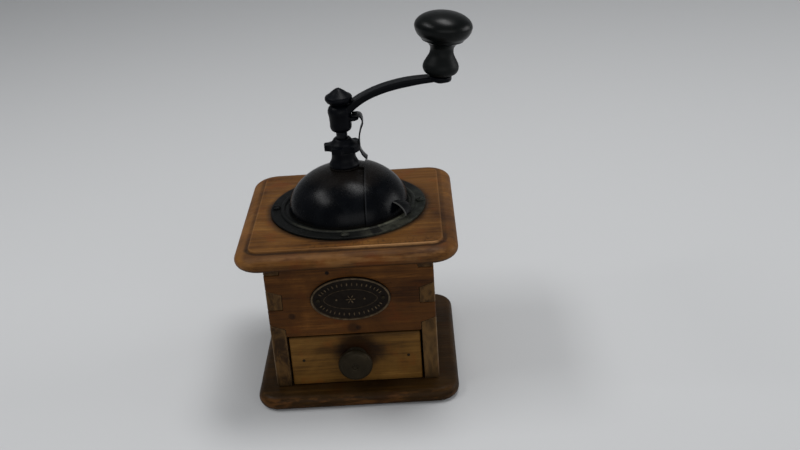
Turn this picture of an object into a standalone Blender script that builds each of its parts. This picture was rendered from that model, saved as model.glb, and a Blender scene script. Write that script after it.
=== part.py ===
"""Box coffee mill with a side drawer, a domed hopper and a hand crank.

Metres, +Z up. The origin is the centre of the base board's underside, the front
with the drawer faces -Y, and the shaft stands on the Z axis. The crank is stored
pointing along +X.
"""
import bmesh
import bpy
from math import acos, atan2, cos, degrees, pi, radians, sin, sqrt
from mathutils import Matrix, Vector

# Clearances shared by all pieces
SEAT = 0.0003            # gap between two pieces that rest on each other
RUNNING = 0.0003         # gap round a shaft or pin in its bore
OVERCUT = 0.002          # how far a cutter reaches past the piece that it cuts

# Base board
BASE_SIDE = 0.133
BASE_THICK = 0.010
BASE_CORNER = 0.0145
BASE_NOSE = 0.0045       # depth of the rounding round its edge

# Case walls
CASE_WIDTH = 0.1078
CASE_DEPTH = 0.1038
WALL_THICK = 0.0097
WALL_HEIGHT = 0.0927
CASE_EDGE = 0.0012       # worn rounding of the case's upright corners
FINGER_PITCH = 0.0127    # height of one finger of the corner joints
FINGER_BOTTOM = 0.0447   # lowest joint line of the front, above the walls' feet
FINGER_SLANT = 0.0034    # how far a finger's upper line climbs towards the corner

# Drawer
DRAWER_BAY = 0.0375      # height of the opening under the front panel
DRAWER_SIDE_GAP = 0.0015
DRAWER_TOP_GAP = 0.0012
DRAWER_FOOT_GAP = 0.0004
DRAWER_REAR_GAP = 0.0007
DRAWER_RECESS = 0.0004
DRAWER_FRONT_THICK = 0.0085
DRAWER_SIDE_THICK = 0.0078
DRAWER_SIDE_HEIGHT = 0.0278
DRAWER_SIDE_INSET = 0.0003
DRAWER_BOTTOM_THICK = 0.003
DRAWER_BACK_THICK = 0.0078

# Drawer knob and its screw
DRAWER_KNOB_RADIUS = 0.0112
DRAWER_KNOB_REACH = 0.0118
DRAWER_KNOB_STEM = 0.0048
KNOB_SCREW_RADIUS = 0.0016
KNOB_SCREW_HEAD = 0.0034
KNOB_SCREW_HEAD_THICK = 0.0018
KNOB_SCREW_GRIP = 0.006

# Top board
BOARD_SIDE = 0.140
BOARD_CORNER = 0.013
BOARD_THICK = 0.0115
BOARD_EDGE_THICK = 0.0103
BOARD_NOSE = 0.0048      # how far the underside stands back from the edge
PANEL_MARGIN = 0.0091    # width of the moulding round the raised panel
PANEL_STEP = 0.0006
BOARD_BORE_GAP = 0.0007

# Badge on the front panel
BADGE_WIDTH = 0.0514
BADGE_HEIGHT = 0.031
BADGE_THICK = 0.0014
BADGE_RIM = 0.0018
BADGE_RIM_RISE = 0.0008
BADGE_CENTRE_Z = 0.0742
BADGE_NAIL_SPREAD = 0.0415
NAIL_RADIUS = 0.0007
NAIL_HEAD = 0.0014
NAIL_HEAD_RISE = 0.0006
NAIL_LENGTH = 0.006

# Hopper bowl with its flange, which follow the dome that stands on them
DOME_RADIUS = 0.0395
BEAD_OUTSET = 0.0040     # the bead runs this far outside the dome
FLANGE_RIM = 0.0082      # width of the flange outside the bead's middle
MOUTH_INSET = 0.0019
FLANGE_SCREW_INSET = 0.0039
BEAD_RADIUS = DOME_RADIUS + BEAD_OUTSET
FLANGE_RADIUS = BEAD_RADIUS + FLANGE_RIM
FLANGE_THICK = 0.0015
BEAD_WIDTH = 0.0032
BEAD_RISE = 0.0011
BOWL_WALL = 0.0023
BOWL_MOUTH = DOME_RADIUS - MOUTH_INSET      # inside radius at the flange
BOWL_SHOULDER_DROP = 0.0105
THROAT_RADIUS = 0.0178
BOWL_DEPTH = 0.0320      # flange top to the foot of the bowl
FOOT_RADIUS = 0.0285
FOOT_THICK = 0.0027
FLANGE_SCREW_CIRCLE = FLANGE_RADIUS - FLANGE_SCREW_INSET
FLANGE_SCREW_RADIUS = 0.0015
FLANGE_SCREW_HEAD = 0.0029
FLANGE_SCREW_HEAD_RISE = 0.0015
FLANGE_SCREW_LENGTH = 0.009
FLANGE_SCREW_COUNT = 4

# Dome, its door and the thumb lip
DOME_HEIGHT = 0.0290
DOME_SINK = 0.0011       # the ellipse's centre lies this far under the flange top
DOME_WALL = 0.0010
DOME_LAND = 0.0103       # radius of the flat land under the pillar
DOME_BORE = 0.0055
DOOR_GAP = 0.0005        # the door turns this far outside the dome
DOOR_WALL = 0.0008
DOOR_EDGE_X = 0.0130     # the door's straight edge
DOOR_OVERLAP = 0.0025    # the door covers the opening's edge by this much
DOOR_SILL = 0.0040       # rim that stays below the opening
DOOR_LINTEL = 0.0030     # wall that stays above the opening
TONGUE_WIDTH = 0.0080
LIP_START = -33.0        # azimuth of the thumb lip's mouth, from +X towards +Y
LIP_SWEEP = 25.0         # the lip has run out into the door after this turn
LIP_REACH = 0.0042
LIP_HEIGHT = 0.0065
LIP_FOOT = 0.0025        # clears the flange screws' heads
LIP_THICK = 0.0009

# Bearing pillar
PILLAR_BASE = 0.0093
PILLAR_NECK = 0.0069
PILLAR_HEIGHT = 0.0102
PILLAR_FLARE = 0.0038
SPIGOT_RADIUS = 0.0052
SPIGOT_RIVET = 0.0064
SPIGOT_RIVET_THICK = 0.0012

# Shaft
SHAFT_RADIUS = 0.0036
SHAFT_FLAT = 0.0028      # half the width across the milled flats
JOURNAL_RADIUS = 0.0026
THREAD_RADIUS = 0.0027
COLLAR_RADIUS = 0.0060
COLLAR_THICK = 0.0019
NECK_SHOWN = 0.0049      # shaft between adjusting nut and crank hub
SHAFT_THREAD = 0.0060

# Burrs
BURR_TEETH = 24
FLIGHTS = 8
BURR_HEIGHT = 0.0255
BURR_TWIST = 48.0
BURR_FOOT_RADIUS = 0.0166
BURR_WAIST_RADIUS = 0.0149
BURR_TOP_RADIUS = 0.0092
BURR_WAIST = 0.0095
BURR_GAP = 0.0008
TOOTH_DEPTH = 0.0008
SAW_LEAN = 0.75          # a tooth's crest lies this far along its pitch
FLIGHT_DEPTH = 0.0026
RING_MOUTH = 0.0184
RING_HEIGHT = 0.0258
RING_WALL_RADIUS = 0.0232
RING_FLANGE_THICK = 0.0027
RING_TEETH = 24
BURR_BOLT_CIRCLE = 0.0258
BURR_BOLT_RADIUS = 0.0012
BURR_BOLT_HEAD = 0.0022
BURR_BOLT_HEAD_THICK = 0.0018
BURR_BOLT_COUNT = 3
BURR_NUT_RADIUS = 0.0056
BURR_NUT_THICK = 0.0020

# Lower bearing bridge
BRIDGE_WIDTH = 0.0110
BRIDGE_THICK = 0.0045
BRIDGE_BOSS_RADIUS = 0.0075
BRIDGE_BOSS_DROP = 0.0020
BRIDGE_SCREW_X = 0.0209
BRIDGE_SCREW_RADIUS = 0.0012
BRIDGE_SCREW_HEAD = 0.0024
BRIDGE_SCREW_HEAD_THICK = 0.0016
BRIDGE_SCREW_GRIP = 0.0050

# Burr spring
SPRING_RADIUS = 0.0062
SPRING_WIRE = 0.0008
SPRING_TURNS = 7
SPRING_STEPS = 8
WASHER_RADIUS = 0.0090
WASHER_THICK = 0.0012

# Adjusting nut
NUT_LOBES = 5
NUT_RADIUS = 0.0121
NUT_NOTCH_RADIUS = 0.0088
NUT_HUB_RADIUS = 0.0076
NUT_CROWN_RADIUS = 0.0052
NUT_LOBE_ANGLE = 28.0
NUT_NOTCH_FLANK = 0.07   # radians between a lobe's corner and the notch's floor
NUT_BEVEL = 0.0007
NUT_EDGE_THICK = 0.0039
NUT_HEIGHT = 0.0081
NUT_HUB_DROP = 0.0004

# Crank
HUB_RADIUS = 0.0077
HUB_HEIGHT = 0.0181
HUB_TOP_RADIUS = 0.0052
ARM_REACH = 0.0650       # shaft axis to knob pin
ARM_RISE = 0.0133        # pin end's middle above the hub's top
ARM_ROOT_X = 0.0059
ARM_ROOT_DROP = 0.0042
ARM_ROOT_THICK = 0.0042
ARM_THICK = 0.0032
ARM_ROOT_WIDTH = 0.0092
ARM_WIDTH = 0.0080
EYE_RADIUS = 0.0067
EYE_BEVEL = 0.0005
KNOB_TILT = 6.5          # the pin leans outward by this many degrees
LUG_REACH = 0.0118
LUG_WIDTH = 0.0090
LUG_THICK = 0.0029
LUG_DROP = 0.0083        # hub top to the lug's upper face

# Cap nut
CAP_RADIUS = 0.0088
CAP_FOOT_RADIUS = 0.0058
CAP_HEIGHT = 0.0102
CAP_RIM_Z = 0.0040

# Latch spring and rivet
LATCH_THICK = 0.0010
LATCH_WIDTH = 0.0088
LATCH_TIP_WIDTH = 0.0058
LATCH_NOTCH_X = 0.0109
LATCH_TIP_X = 0.0156
LATCH_TIP_DROP = 0.0066
RIVET_X = 0.0094
RIVET_RADIUS = 0.0010
RIVET_HEAD = 0.0018
RIVET_HEAD_RISE = 0.0009

# Handle knob and its pin
KNOB_RADIUS = 0.0180
KNOB_HEIGHT = 0.0403
KNOB_CROWN = 0.0095
KNOB_LIP_RADIUS = 0.0130
KNOB_NECK_RADIUS = 0.0068
KNOB_BULB_RADIUS = 0.0110
KNOB_FOOT_RADIUS = 0.0082
KNOB_BORE_DEPTH = 0.0290
PIN_RADIUS = 0.0025
PIN_LENGTH = 0.0270
PIN_HEAD = 0.0040
PIN_HEAD_RISE = 0.0012

# Heights, each from the piece below it
WALL_FOOT = BASE_THICK + SEAT
WALL_TOP = WALL_FOOT + WALL_HEIGHT
BOARD_FOOT = WALL_TOP + SEAT
BOARD_TOP = BOARD_FOOT + BOARD_THICK
FLANGE_FOOT = BOARD_TOP + SEAT
FLANGE_TOP = FLANGE_FOOT + FLANGE_THICK
DOME_CENTRE = FLANGE_TOP - DOME_SINK
BAY_TOP = WALL_FOOT + DRAWER_BAY
BOWL_FOOT = FLANGE_TOP - BOWL_DEPTH
RING_TOP = BOWL_FOOT - SEAT
RING_FOOT = RING_TOP - RING_HEIGHT
BRIDGE_TOP = RING_FOOT - SEAT
BRIDGE_FOOT = BRIDGE_TOP - BRIDGE_THICK
BURR_FOOT = BRIDGE_TOP + BURR_NUT_THICK + 2 * SEAT
BURR_TOP = BURR_FOOT + BURR_HEIGHT
COLLAR_FOOT = BURR_TOP + SEAT
COLLAR_TOP = COLLAR_FOOT + COLLAR_THICK

# Plan sizes that follow
CASE_X = CASE_WIDTH / 2
CASE_Y = CASE_DEPTH / 2
INNER_X = CASE_X - WALL_THICK
INNER_Y = CASE_Y - WALL_THICK
BOWL_RADIUS = BOWL_MOUTH + BOWL_WALL
DRAWER_HALF = INNER_X - DRAWER_SIDE_GAP
DRAWER_FOOT = BASE_THICK + DRAWER_FOOT_GAP
DRAWER_TOP = BAY_TOP - DRAWER_TOP_GAP
DRAWER_FACE = -CASE_Y + DRAWER_RECESS
DRAWER_INNER_FACE = DRAWER_FACE + DRAWER_FRONT_THICK
DRAWER_REAR = INNER_Y - DRAWER_REAR_GAP
DRAWER_MIDDLE = (DRAWER_FOOT + DRAWER_TOP) / 2


def dome_rise(radius, outset=0.0):
    """Height of a dome surface over its ellipse's centre, at a distance from the axis."""
    wide = DOME_RADIUS + outset
    return (DOME_HEIGHT + outset) * sqrt(max(0.0, 1 - (radius / wide) ** 2))


LAND_TOP = DOME_CENTRE + dome_rise(DOME_LAND)
DOOR_LAND_FOOT = LAND_TOP + DOOR_GAP
DOOR_LAND_TOP = DOOR_LAND_FOOT + DOOR_WALL
PILLAR_FOOT = DOOR_LAND_TOP + SEAT
PILLAR_TOP = PILLAR_FOOT + PILLAR_HEIGHT
NUT_FOOT = PILLAR_TOP + SEAT
NUT_TOP = NUT_FOOT + NUT_HEIGHT
HUB_FOOT = NUT_TOP + NECK_SHOWN
HUB_TOP = HUB_FOOT + HUB_HEIGHT
CAP_FOOT = HUB_TOP + SEAT
LUG_TOP = HUB_TOP - LUG_DROP
LATCH_ROOT_Z = LUG_TOP + SEAT + LATCH_THICK / 2
ARM_END_Z = HUB_TOP + ARM_RISE
SPIGOT_FOOT = LAND_TOP - DOME_WALL - SEAT - SPIGOT_RIVET_THICK

# Facets round a full turn
WIDE_STEPS = 32
TURNED_STEPS = 24
SHAFT_STEPS = 16
SMALL_STEPS = 8


def clear_scene():
    for obj in list(bpy.data.objects):
        bpy.data.objects.remove(obj, do_unlink=True)


def finish_material(name, colour, roughness, metallic=0.0):
    material = bpy.data.materials.new(name)
    material.use_nodes = True
    shader = material.node_tree.nodes["Principled BSDF"]
    shader.inputs["Base Color"].default_value = (*colour, 1.0)
    shader.inputs["Roughness"].default_value = roughness
    shader.inputs["Metallic"].default_value = metallic
    material.diffuse_color = (*colour, 1.0)
    return material


def add_object(name, bm, material=None, sharp=35.0):
    """Turns a bmesh into a shaded object of its own."""
    bmesh.ops.recalc_face_normals(bm, faces=bm.faces)
    mesh = bpy.data.meshes.new(name)
    bm.to_mesh(mesh)
    bm.free()
    mesh.shade_smooth()
    mesh.set_sharp_from_angle(angle=radians(sharp))
    obj = bpy.data.objects.new(name, mesh)
    bpy.context.scene.collection.objects.link(obj)
    if material:
        mesh.materials.append(finish_material(name, *material))
    return obj


def as_cutter(obj):
    obj.display_type = "WIRE"
    obj.hide_render = True
    return obj


def boolean(target, tool, operation="DIFFERENCE"):
    modifier = target.modifiers.new(operation.title() + " " + tool.name, "BOOLEAN")
    modifier.operation = operation
    modifier.object = tool
    modifier.solver = "EXACT"


def pivot(name, location, rotation=(0.0, 0.0, 0.0)):
    empty = bpy.data.objects.new(name, None)
    bpy.context.scene.collection.objects.link(empty)
    empty.location = location
    empty.rotation_euler = rotation
    empty.empty_display_size = 0.01
    return empty


def hang(empty, *objects):
    """Parents objects that were modelled in place to a joint's empty."""
    placed = Matrix.LocRotScale(empty.location, empty.rotation_euler, None)
    for obj in objects:
        obj.parent = empty
        obj.matrix_parent_inverse = placed.inverted()


def arc(centre_r, centre_z, wide, high, start, end, steps):
    """Points of an elliptical arc, angles in degrees."""
    points = []
    for i in range(steps + 1):
        angle = radians(start + (end - start) * i / steps)
        points.append((centre_r + wide * cos(angle), centre_z + high * sin(angle)))
    return points


def smooth_curve(points, parts):
    """Catmull-Rom curve through hand-set points."""
    padded = [points[0]] + list(points) + [points[-1]]
    curve = []
    for i in range(1, len(padded) - 2):
        a, b, c, d = (Vector(p) for p in padded[i - 1:i + 3])
        for k in range(parts):
            t = k / parts
            curve.append(0.5 * (2 * b + (c - a) * t + (2 * a - 5 * b + 4 * c - d) * t ** 2
                                + (3 * b - a - 3 * c + d) * t ** 3))
    curve.append(Vector(padded[-1]))
    return [tuple(p) for p in curve]


def turned_mesh(profile, steps=TURNED_STEPS, hollow=False):
    """Spins a profile of (radius, height) points about Z, with a facet's middle on the X axis."""
    bm = bmesh.new()
    start = pi / steps
    verts = [bm.verts.new((r * cos(start), r * sin(start), z)) for r, z in profile]
    pairs = list(zip(verts, verts[1:]))
    if hollow:
        pairs.append((verts[-1], verts[0]))
    edges = [bm.edges.new(pair) for pair in pairs]
    bmesh.ops.spin(bm, geom=verts + edges, cent=(0, 0, 0), axis=(0, 0, 1), angle=2 * pi, steps=steps)
    bmesh.ops.remove_doubles(bm, verts=bm.verts, dist=1e-6)
    return bm


def turned(name, profile, material=None, steps=TURNED_STEPS, hollow=False, sharp=35.0):
    return add_object(name, turned_mesh(profile, steps, hollow), material, sharp)


def loft_mesh(rings, closed=False):
    """Joins rings of equally many points; the ends are capped unless the rings close."""
    bm = bmesh.new()
    rows = [[bm.verts.new(p) for p in ring] for ring in rings]
    pairs = list(zip(rows, rows[1:]))
    if closed:
        pairs.append((rows[-1], rows[0]))
    else:
        bm.faces.new(rows[0])
        bm.faces.new(rows[-1])
    for low, high in pairs:
        for i in range(len(low)):
            j = (i + 1) % len(low)
            bm.faces.new((low[i], low[j], high[j], high[i]))
    return bm


def slab_mesh(outline, axis, low, high):
    """Extrudes a flat outline along an axis; the outline gives the other two coordinates."""
    bm = bmesh.new()

    def place(u, v, w):
        return {"X": (w, u, v), "Y": (u, w, v), "Z": (u, v, w)}[axis]

    face = bm.faces.new([bm.verts.new(place(u, v, low)) for u, v in outline])
    side = bmesh.ops.extrude_face_region(bm, geom=[face])
    verts = [v for v in side["geom"] if isinstance(v, bmesh.types.BMVert)]
    bmesh.ops.translate(bm, verts=verts, vec=Vector(place(0.0, 0.0, high - low)))
    return bm


def box_mesh(low, high):
    outline = [(low[0], low[1]), (high[0], low[1]), (high[0], high[1]), (low[0], high[1])]
    return slab_mesh(outline, "Z", low[2], high[2])


def soften(bm, width, chosen=None, segments=2):
    edges = [e for e in bm.edges if chosen is None or chosen(e)]
    bmesh.ops.bevel(bm, geom=edges, offset=width, segments=segments, affect="EDGES", profile=0.5,
                    clamp_overlap=True)
    return bm


def rounded_rectangle(half_x, half_y, radius, steps=4):
    points = []
    for quarter, (sx, sy) in enumerate(((1, 1), (-1, 1), (-1, -1), (1, -1))):
        cx = sx * (half_x - radius)
        cy = sy * (half_y - radius)
        points += arc(cx, cy, radius, radius, 90 * quarter, 90 * quarter + 90, steps)
    return points


def circle(radius, steps=TURNED_STEPS, start=0.0):
    turn = 2 * pi / steps
    return [(radius * cos(start + i * turn), radius * sin(start + i * turn)) for i in range(steps)]


def at_height(outline, z):
    return [(x, y, z) for x, y in outline]


def moulded_board(name, half, corner, profile, material):
    """A square board whose edge follows a profile of (inset, height) points."""
    rings = [at_height(rounded_rectangle(half - inset, half - inset, corner - inset), z)
             for inset, z in profile]
    return add_object(name, loft_mesh(rings), material, 28.0)


def milled(flat, radius, angle):
    """Radius of a shaft with four milled flats."""
    quarter = (angle + pi / 4) % (pi / 2) - pi / 4
    return min(radius, flat / cos(quarter))


def milled_ring(flat, radius, z, steps=SHAFT_STEPS):
    ring = []
    for i in range(steps):
        angle = 2 * pi * i / steps
        reach = milled(flat, radius, angle)
        ring.append((reach * cos(angle), reach * sin(angle), z))
    return ring


def round_ring(radius, z, steps=SHAFT_STEPS):
    return at_height(circle(radius, steps), z)


WOOD_TOP = ((0.117, 0.051, 0.018), 0.5)
WOOD_FRONT = ((0.060, 0.026, 0.009), 0.55)
WOOD_SIDE = ((0.085, 0.047, 0.022), 0.55)
WOOD_DRAWER = ((0.085, 0.042, 0.014), 0.5)
WOOD_BASE = ((0.022, 0.014, 0.008), 0.5)
WOOD_INSIDE = ((0.190, 0.110, 0.050), 0.7)
BLACK_ENAMEL = ((0.006, 0.007, 0.008), 0.35)
BLACK_LACQUER = ((0.008, 0.009, 0.009), 0.3)
DARK_IRON = ((0.020, 0.020, 0.018), 0.5, 0.8)
BURR_IRON = ((0.080, 0.078, 0.075), 0.45, 1.0)
BRIGHT_STEEL = ((0.300, 0.295, 0.290), 0.35, 1.0)
BRONZE = ((0.028, 0.021, 0.015), 0.45, 0.9)


def build_base():
    half = BASE_THICK / 2
    bullnose = [*arc(BASE_NOSE, half, -BASE_NOSE, half, -75, 75, 6), (BASE_NOSE, BASE_THICK)]
    moulded_board("base_board", BASE_SIDE / 2, BASE_CORNER, bullnose, WOOD_BASE)


def finger_lines():
    """Heights of the corner joint's lines on the front, lowest first: inner and outer end."""
    lines = []
    for k in range(4):
        z = WALL_FOOT + FINGER_BOTTOM + k * FINGER_PITCH
        slant = FINGER_SLANT if k % 2 == 0 else 0.0
        lines.append((z - slant / 2, z + slant / 2))
    return lines


def lower_finger_lines():
    """The back panel has one more pair of joint lines below the front's."""
    first = WALL_FOOT + FINGER_BOTTOM
    return [(first - k * FINGER_PITCH, first - k * FINGER_PITCH) for k in (2, 1)]


def finger_end(side, lines, gap, inner, outer):
    """Outline points up one end of a panel, stepping out where the panel has a finger."""
    points = []
    for k, (z_in, z_out) in enumerate(lines):
        leaves = k % 2 == 0
        lift = gap if leaves else -gap
        stub = [(side * inner, z_in + lift), (side * outer, z_out + lift)]
        points += stub if leaves else stub[::-1]
    return points


def panel_outline(foot, lines):
    reach = INNER_X - SEAT
    right = finger_end(1, lines, SEAT / 2, reach, CASE_X)
    left = finger_end(-1, lines, SEAT / 2, reach, CASE_X)
    return [(-reach, foot), (reach, foot), *right, (reach, WALL_TOP), (-reach, WALL_TOP), *left[::-1]]


def on_case_corner(edge):
    return all(abs(abs(v.co.x) - CASE_X) < 1e-6 and abs(abs(v.co.y) - CASE_Y) < 1e-6 for v in edge.verts)


def build_case():
    front = slab_mesh(panel_outline(BAY_TOP, finger_lines()), "Y", -CASE_Y, -INNER_Y - SEAT / 2)
    front_panel = add_object("front_panel", soften(front, CASE_EDGE, on_case_corner), WOOD_FRONT, 28.0)
    back_lines = lower_finger_lines() + finger_lines()
    back = slab_mesh(panel_outline(WALL_FOOT, back_lines), "Y", INNER_Y + SEAT / 2, CASE_Y)
    add_object("back_panel", soften(back, CASE_EDGE, on_case_corner), WOOD_FRONT, 28.0)
    for name, side in (("left_wall", -1), ("right_wall", 1)):
        low = (min(side * INNER_X, side * CASE_X), -CASE_Y, WALL_FOOT)
        high = (max(side * INNER_X, side * CASE_X), CASE_Y, WALL_TOP)
        wall = add_object(name, soften(box_mesh(low, high), CASE_EDGE, on_case_corner), WOOD_SIDE, 28.0)
        cut_sockets(wall, side, "front", finger_lines(), -CASE_Y - OVERCUT, -INNER_Y)
        cut_sockets(wall, side, "back", back_lines, INNER_Y, CASE_Y + OVERCUT)
    return front_panel


def cut_sockets(wall, side, end, lines, low_y, high_y):
    """Cuts the wall where the panel's fingers pass, one socket for each finger."""
    for k in range(0, len(lines), 2):
        foot_in, foot_out = lines[k]
        head_in, head_out = lines[k + 1]
        inner = INNER_X - OVERCUT
        outer = CASE_X + OVERCUT
        outline = [(side * inner, foot_in - SEAT / 2 - (foot_out - foot_in) * OVERCUT / WALL_THICK),
                   (side * outer, foot_out - SEAT / 2 + (foot_out - foot_in) * OVERCUT / WALL_THICK),
                   (side * outer, head_out + SEAT / 2),
                   (side * inner, head_in + SEAT / 2)]
        socket = slab_mesh(outline, "Y", low_y - (SEAT / 2 if end == "back" else 0.0),
                           high_y + (SEAT / 2 if end == "front" else 0.0))
        boolean(wall, as_cutter(add_object(f"{wall.name}_{end}_socket_{k // 2 + 1}", socket)))


def build_top_board():
    edge = BOARD_EDGE_THICK
    foot = BOARD_FOOT
    under = edge * 0.45
    thumb = PANEL_MARGIN - PANEL_STEP
    moulding = [(BOARD_NOSE, foot),
                *arc(BOARD_NOSE, foot + under, -BOARD_NOSE, under, -65, 0, 3),
                *arc(thumb, foot + under, -thumb, edge - under, 18, 80, 4),
                (thumb + PANEL_STEP / 2, foot + edge),
                (PANEL_MARGIN, BOARD_TOP - PANEL_STEP / 2),
                (PANEL_MARGIN + PANEL_STEP, BOARD_TOP)]
    board = moulded_board("top_board", BOARD_SIDE / 2, BOARD_CORNER, moulding, WOOD_TOP)
    bore = BOWL_RADIUS + BOARD_BORE_GAP
    drill = slab_mesh(circle(bore, WIDE_STEPS), "Z", BOARD_FOOT - OVERCUT, BOARD_TOP + OVERCUT)
    boolean(board, as_cutter(add_object("bowl_hole", drill)))
    return board


def bowl_profile():
    """Flange with its bead, bowl, cone and foot flange, as one closed section."""
    foot = BOWL_FOOT
    shoulder = FLANGE_TOP - BOWL_SHOULDER_DROP
    shoulder_in = BOWL_MOUTH - 0.0021
    neck_z = foot + FOOT_THICK
    slope = atan2(shoulder - neck_z, shoulder_in - THROAT_RADIUS)
    thick = BOWL_WALL / sin(slope)
    bead = arc(BEAD_RADIUS, FLANGE_TOP, BEAD_WIDTH / 2, BEAD_RISE, 0, 180, 3)
    return [(FLANGE_RADIUS, FLANGE_FOOT),
            (FLANGE_RADIUS, FLANGE_TOP - 0.0005),
            (FLANGE_RADIUS - 0.0005, FLANGE_TOP),
            *bead,
            (BOWL_MOUTH + 0.0005, FLANGE_TOP),
            (BOWL_MOUTH, FLANGE_TOP - 0.0006),
            (shoulder_in, shoulder),
            (THROAT_RADIUS, neck_z),
            (THROAT_RADIUS, foot),
            (FOOT_RADIUS, foot),
            (FOOT_RADIUS, neck_z),
            (THROAT_RADIUS + thick, neck_z),
            (BOWL_RADIUS - 0.0014, shoulder),
            (BOWL_RADIUS, FLANGE_FOOT - 0.0040),
            (BOWL_RADIUS, FLANGE_FOOT)]


def round_spots(count, radius, start):
    return [(radius * cos(start + 2 * pi * k / count), radius * sin(start + 2 * pi * k / count))
            for k in range(count)]


def drill_mesh(spots, radius, low, high, steps=SMALL_STEPS):
    """Upright drills at several places, as one cutter, faceted like what they take."""
    bm = bmesh.new()
    for x, y in spots:
        centre = Matrix.Translation((x, y, (low + high) / 2)) @ Matrix.Rotation(pi / steps, 4, "Z")
        bmesh.ops.create_cone(bm, cap_ends=True, segments=steps, radius1=radius, radius2=radius,
                              depth=high - low, matrix=centre)
    return bm


def front_drill_mesh(spots, radius, low, high, steps=SMALL_STEPS):
    """The same drills laid level from front to back, at places given as (x, z)."""
    bm = drill_mesh([(x, -z) for x, z in spots], radius, low, high, steps)
    bmesh.ops.transform(bm, matrix=Matrix.Rotation(-pi / 2, 4, "X"), verts=bm.verts)
    return bm


def screw_profile(shank, length, head, rise, z):
    """Round-headed screw with its head's underside at z and its shank hanging below."""
    crown = arc(0.0, z, head, rise, 0, 60, 2)
    return [(0.0, z - length), (shank, z - length), (shank, z), *crown, (0.0, z + rise)]


def build_bowl(board):
    bowl = turned("hopper_bowl", bowl_profile(), DARK_IRON, WIDE_STEPS, hollow=True)
    spots = round_spots(FLANGE_SCREW_COUNT, FLANGE_SCREW_CIRCLE, -pi / 2)
    hole = FLANGE_SCREW_RADIUS + RUNNING
    depth = FLANGE_FOOT - FLANGE_SCREW_LENGTH
    drills = as_cutter(add_object("flange_drills", drill_mesh(spots, hole, depth, FLANGE_TOP + OVERCUT)))
    boolean(bowl, drills)
    boolean(board, drills)
    bolts = round_spots(BURR_BOLT_COUNT, BURR_BOLT_CIRCLE, pi / 2)
    bolt_drills = drill_mesh(bolts, BURR_BOLT_RADIUS + RUNNING, RING_TOP - RING_FLANGE_THICK - OVERCUT,
                             BOWL_FOOT + FOOT_THICK + OVERCUT)
    bolt_drills = as_cutter(add_object("burr_bolt_drills", bolt_drills))
    boolean(bowl, bolt_drills)
    for k, (x, y) in enumerate(spots):
        screw = turned(f"flange_screw_{k + 1}",
                       screw_profile(FLANGE_SCREW_RADIUS, FLANGE_SCREW_LENGTH - SEAT, FLANGE_SCREW_HEAD,
                                     FLANGE_SCREW_HEAD_RISE, SEAT), DARK_IRON, SMALL_STEPS)
        screw.location = (x, y, FLANGE_TOP)
    for k, (x, y) in enumerate(bolts):
        grip = RING_FLANGE_THICK + FOOT_THICK + SEAT
        bolt = turned(f"burr_bolt_{k + 1}",
                      screw_profile(BURR_BOLT_RADIUS, grip, BURR_BOLT_HEAD, BURR_BOLT_HEAD_THICK, SEAT),
                      BRIGHT_STEEL, SMALL_STEPS)
        bolt.rotation_euler = (pi, 0.0, 0.0)
        bolt.location = (x, y, RING_TOP - RING_FLANGE_THICK)
    return bolt_drills


def shell_section(outset, wall, bore, foot):
    """Section of a domed shell with a flat land round its bore; outset is its inner skin's."""
    def skin(grow):
        land_z = LAND_TOP + grow
        start = degrees(acos(min(1.0, DOME_LAND / (DOME_RADIUS + grow))))
        rise = (foot - DOME_CENTRE) / (DOME_HEIGHT + grow)
        end = degrees(atan2(rise, sqrt(1 - rise ** 2)))
        curve = arc(0.0, DOME_CENTRE, DOME_RADIUS + grow, DOME_HEIGHT + grow, start, end, 7)
        return [(bore, land_z), (DOME_LAND - 0.0004, land_z), *curve[1:]]

    return skin(outset + wall) + skin(outset)[::-1]


def build_dome():
    foot = FLANGE_TOP + SEAT
    section = shell_section(-DOME_WALL, DOME_WALL, DOME_BORE, foot)
    dome = turned("dome_cover", section, BLACK_ENAMEL, WIDE_STEPS, hollow=True)
    edge = DOOR_EDGE_X + DOOR_OVERLAP
    wide = DOME_RADIUS + OVERCUT
    lintel = LAND_TOP - DOOR_LINTEL
    opening = box_mesh((edge, -wide, foot + DOOR_SILL), (wide, wide, lintel))
    boolean(dome, as_cutter(add_object("dome_opening", opening)))


def door_plan():
    """Plan of the door: the part beyond its straight edge, the tongue and the eye."""
    eye = DOME_LAND - 0.0005
    half = TONGUE_WIDTH / 2
    far = DOME_RADIUS + 0.01
    swing = degrees(atan2(half, sqrt(eye ** 2 - half ** 2)))
    round_eye = arc(0.0, 0.0, eye, eye, swing, 360 - swing, 14)
    return [(DOOR_EDGE_X, -far), (far, -far), (far, far), (DOOR_EDGE_X, far), (DOOR_EDGE_X, half),
            *round_eye, (DOOR_EDGE_X, -half)]


def thumb_lip_mesh():
    """A pressed catch at the door's foot: a scoop with its mouth to the front that runs out behind."""
    steps = 7
    foot = FLANGE_TOP + LIP_FOOT
    top = foot + LIP_HEIGHT
    middle = (foot + top) / 2
    bulge = 0.62
    sunk = DOOR_GAP + DOOR_WALL / 4

    def shell(z):
        """Radius inside the door's wall at a height, where the lip starts."""
        climb = (z - DOME_CENTRE) / (DOME_HEIGHT + sunk)
        return (DOME_RADIUS + sunk) * sqrt(1 - climb ** 2)

    rings = []
    for i in range(steps + 1):
        share = i / steps
        angle = radians(LIP_START + LIP_SWEEP * share)
        reach = LIP_REACH * (1 - share ** 2)
        thick = LIP_THICK * (1 - 0.7 * share)
        outline = [(shell(top), top),
                   (shell(middle) + thick / 2 + reach * bulge, middle),
                   (shell(foot) + thick / 2 + reach, foot),
                   (shell(foot) - thick / 2 + reach, foot),
                   (shell(middle) - thick / 2 + reach * bulge, middle - thick / 2),
                   (shell(top - thick), top - thick)]
        rings.append([(r * cos(angle), r * sin(angle), z) for r, z in outline])
    return loft_mesh(rings)


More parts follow.
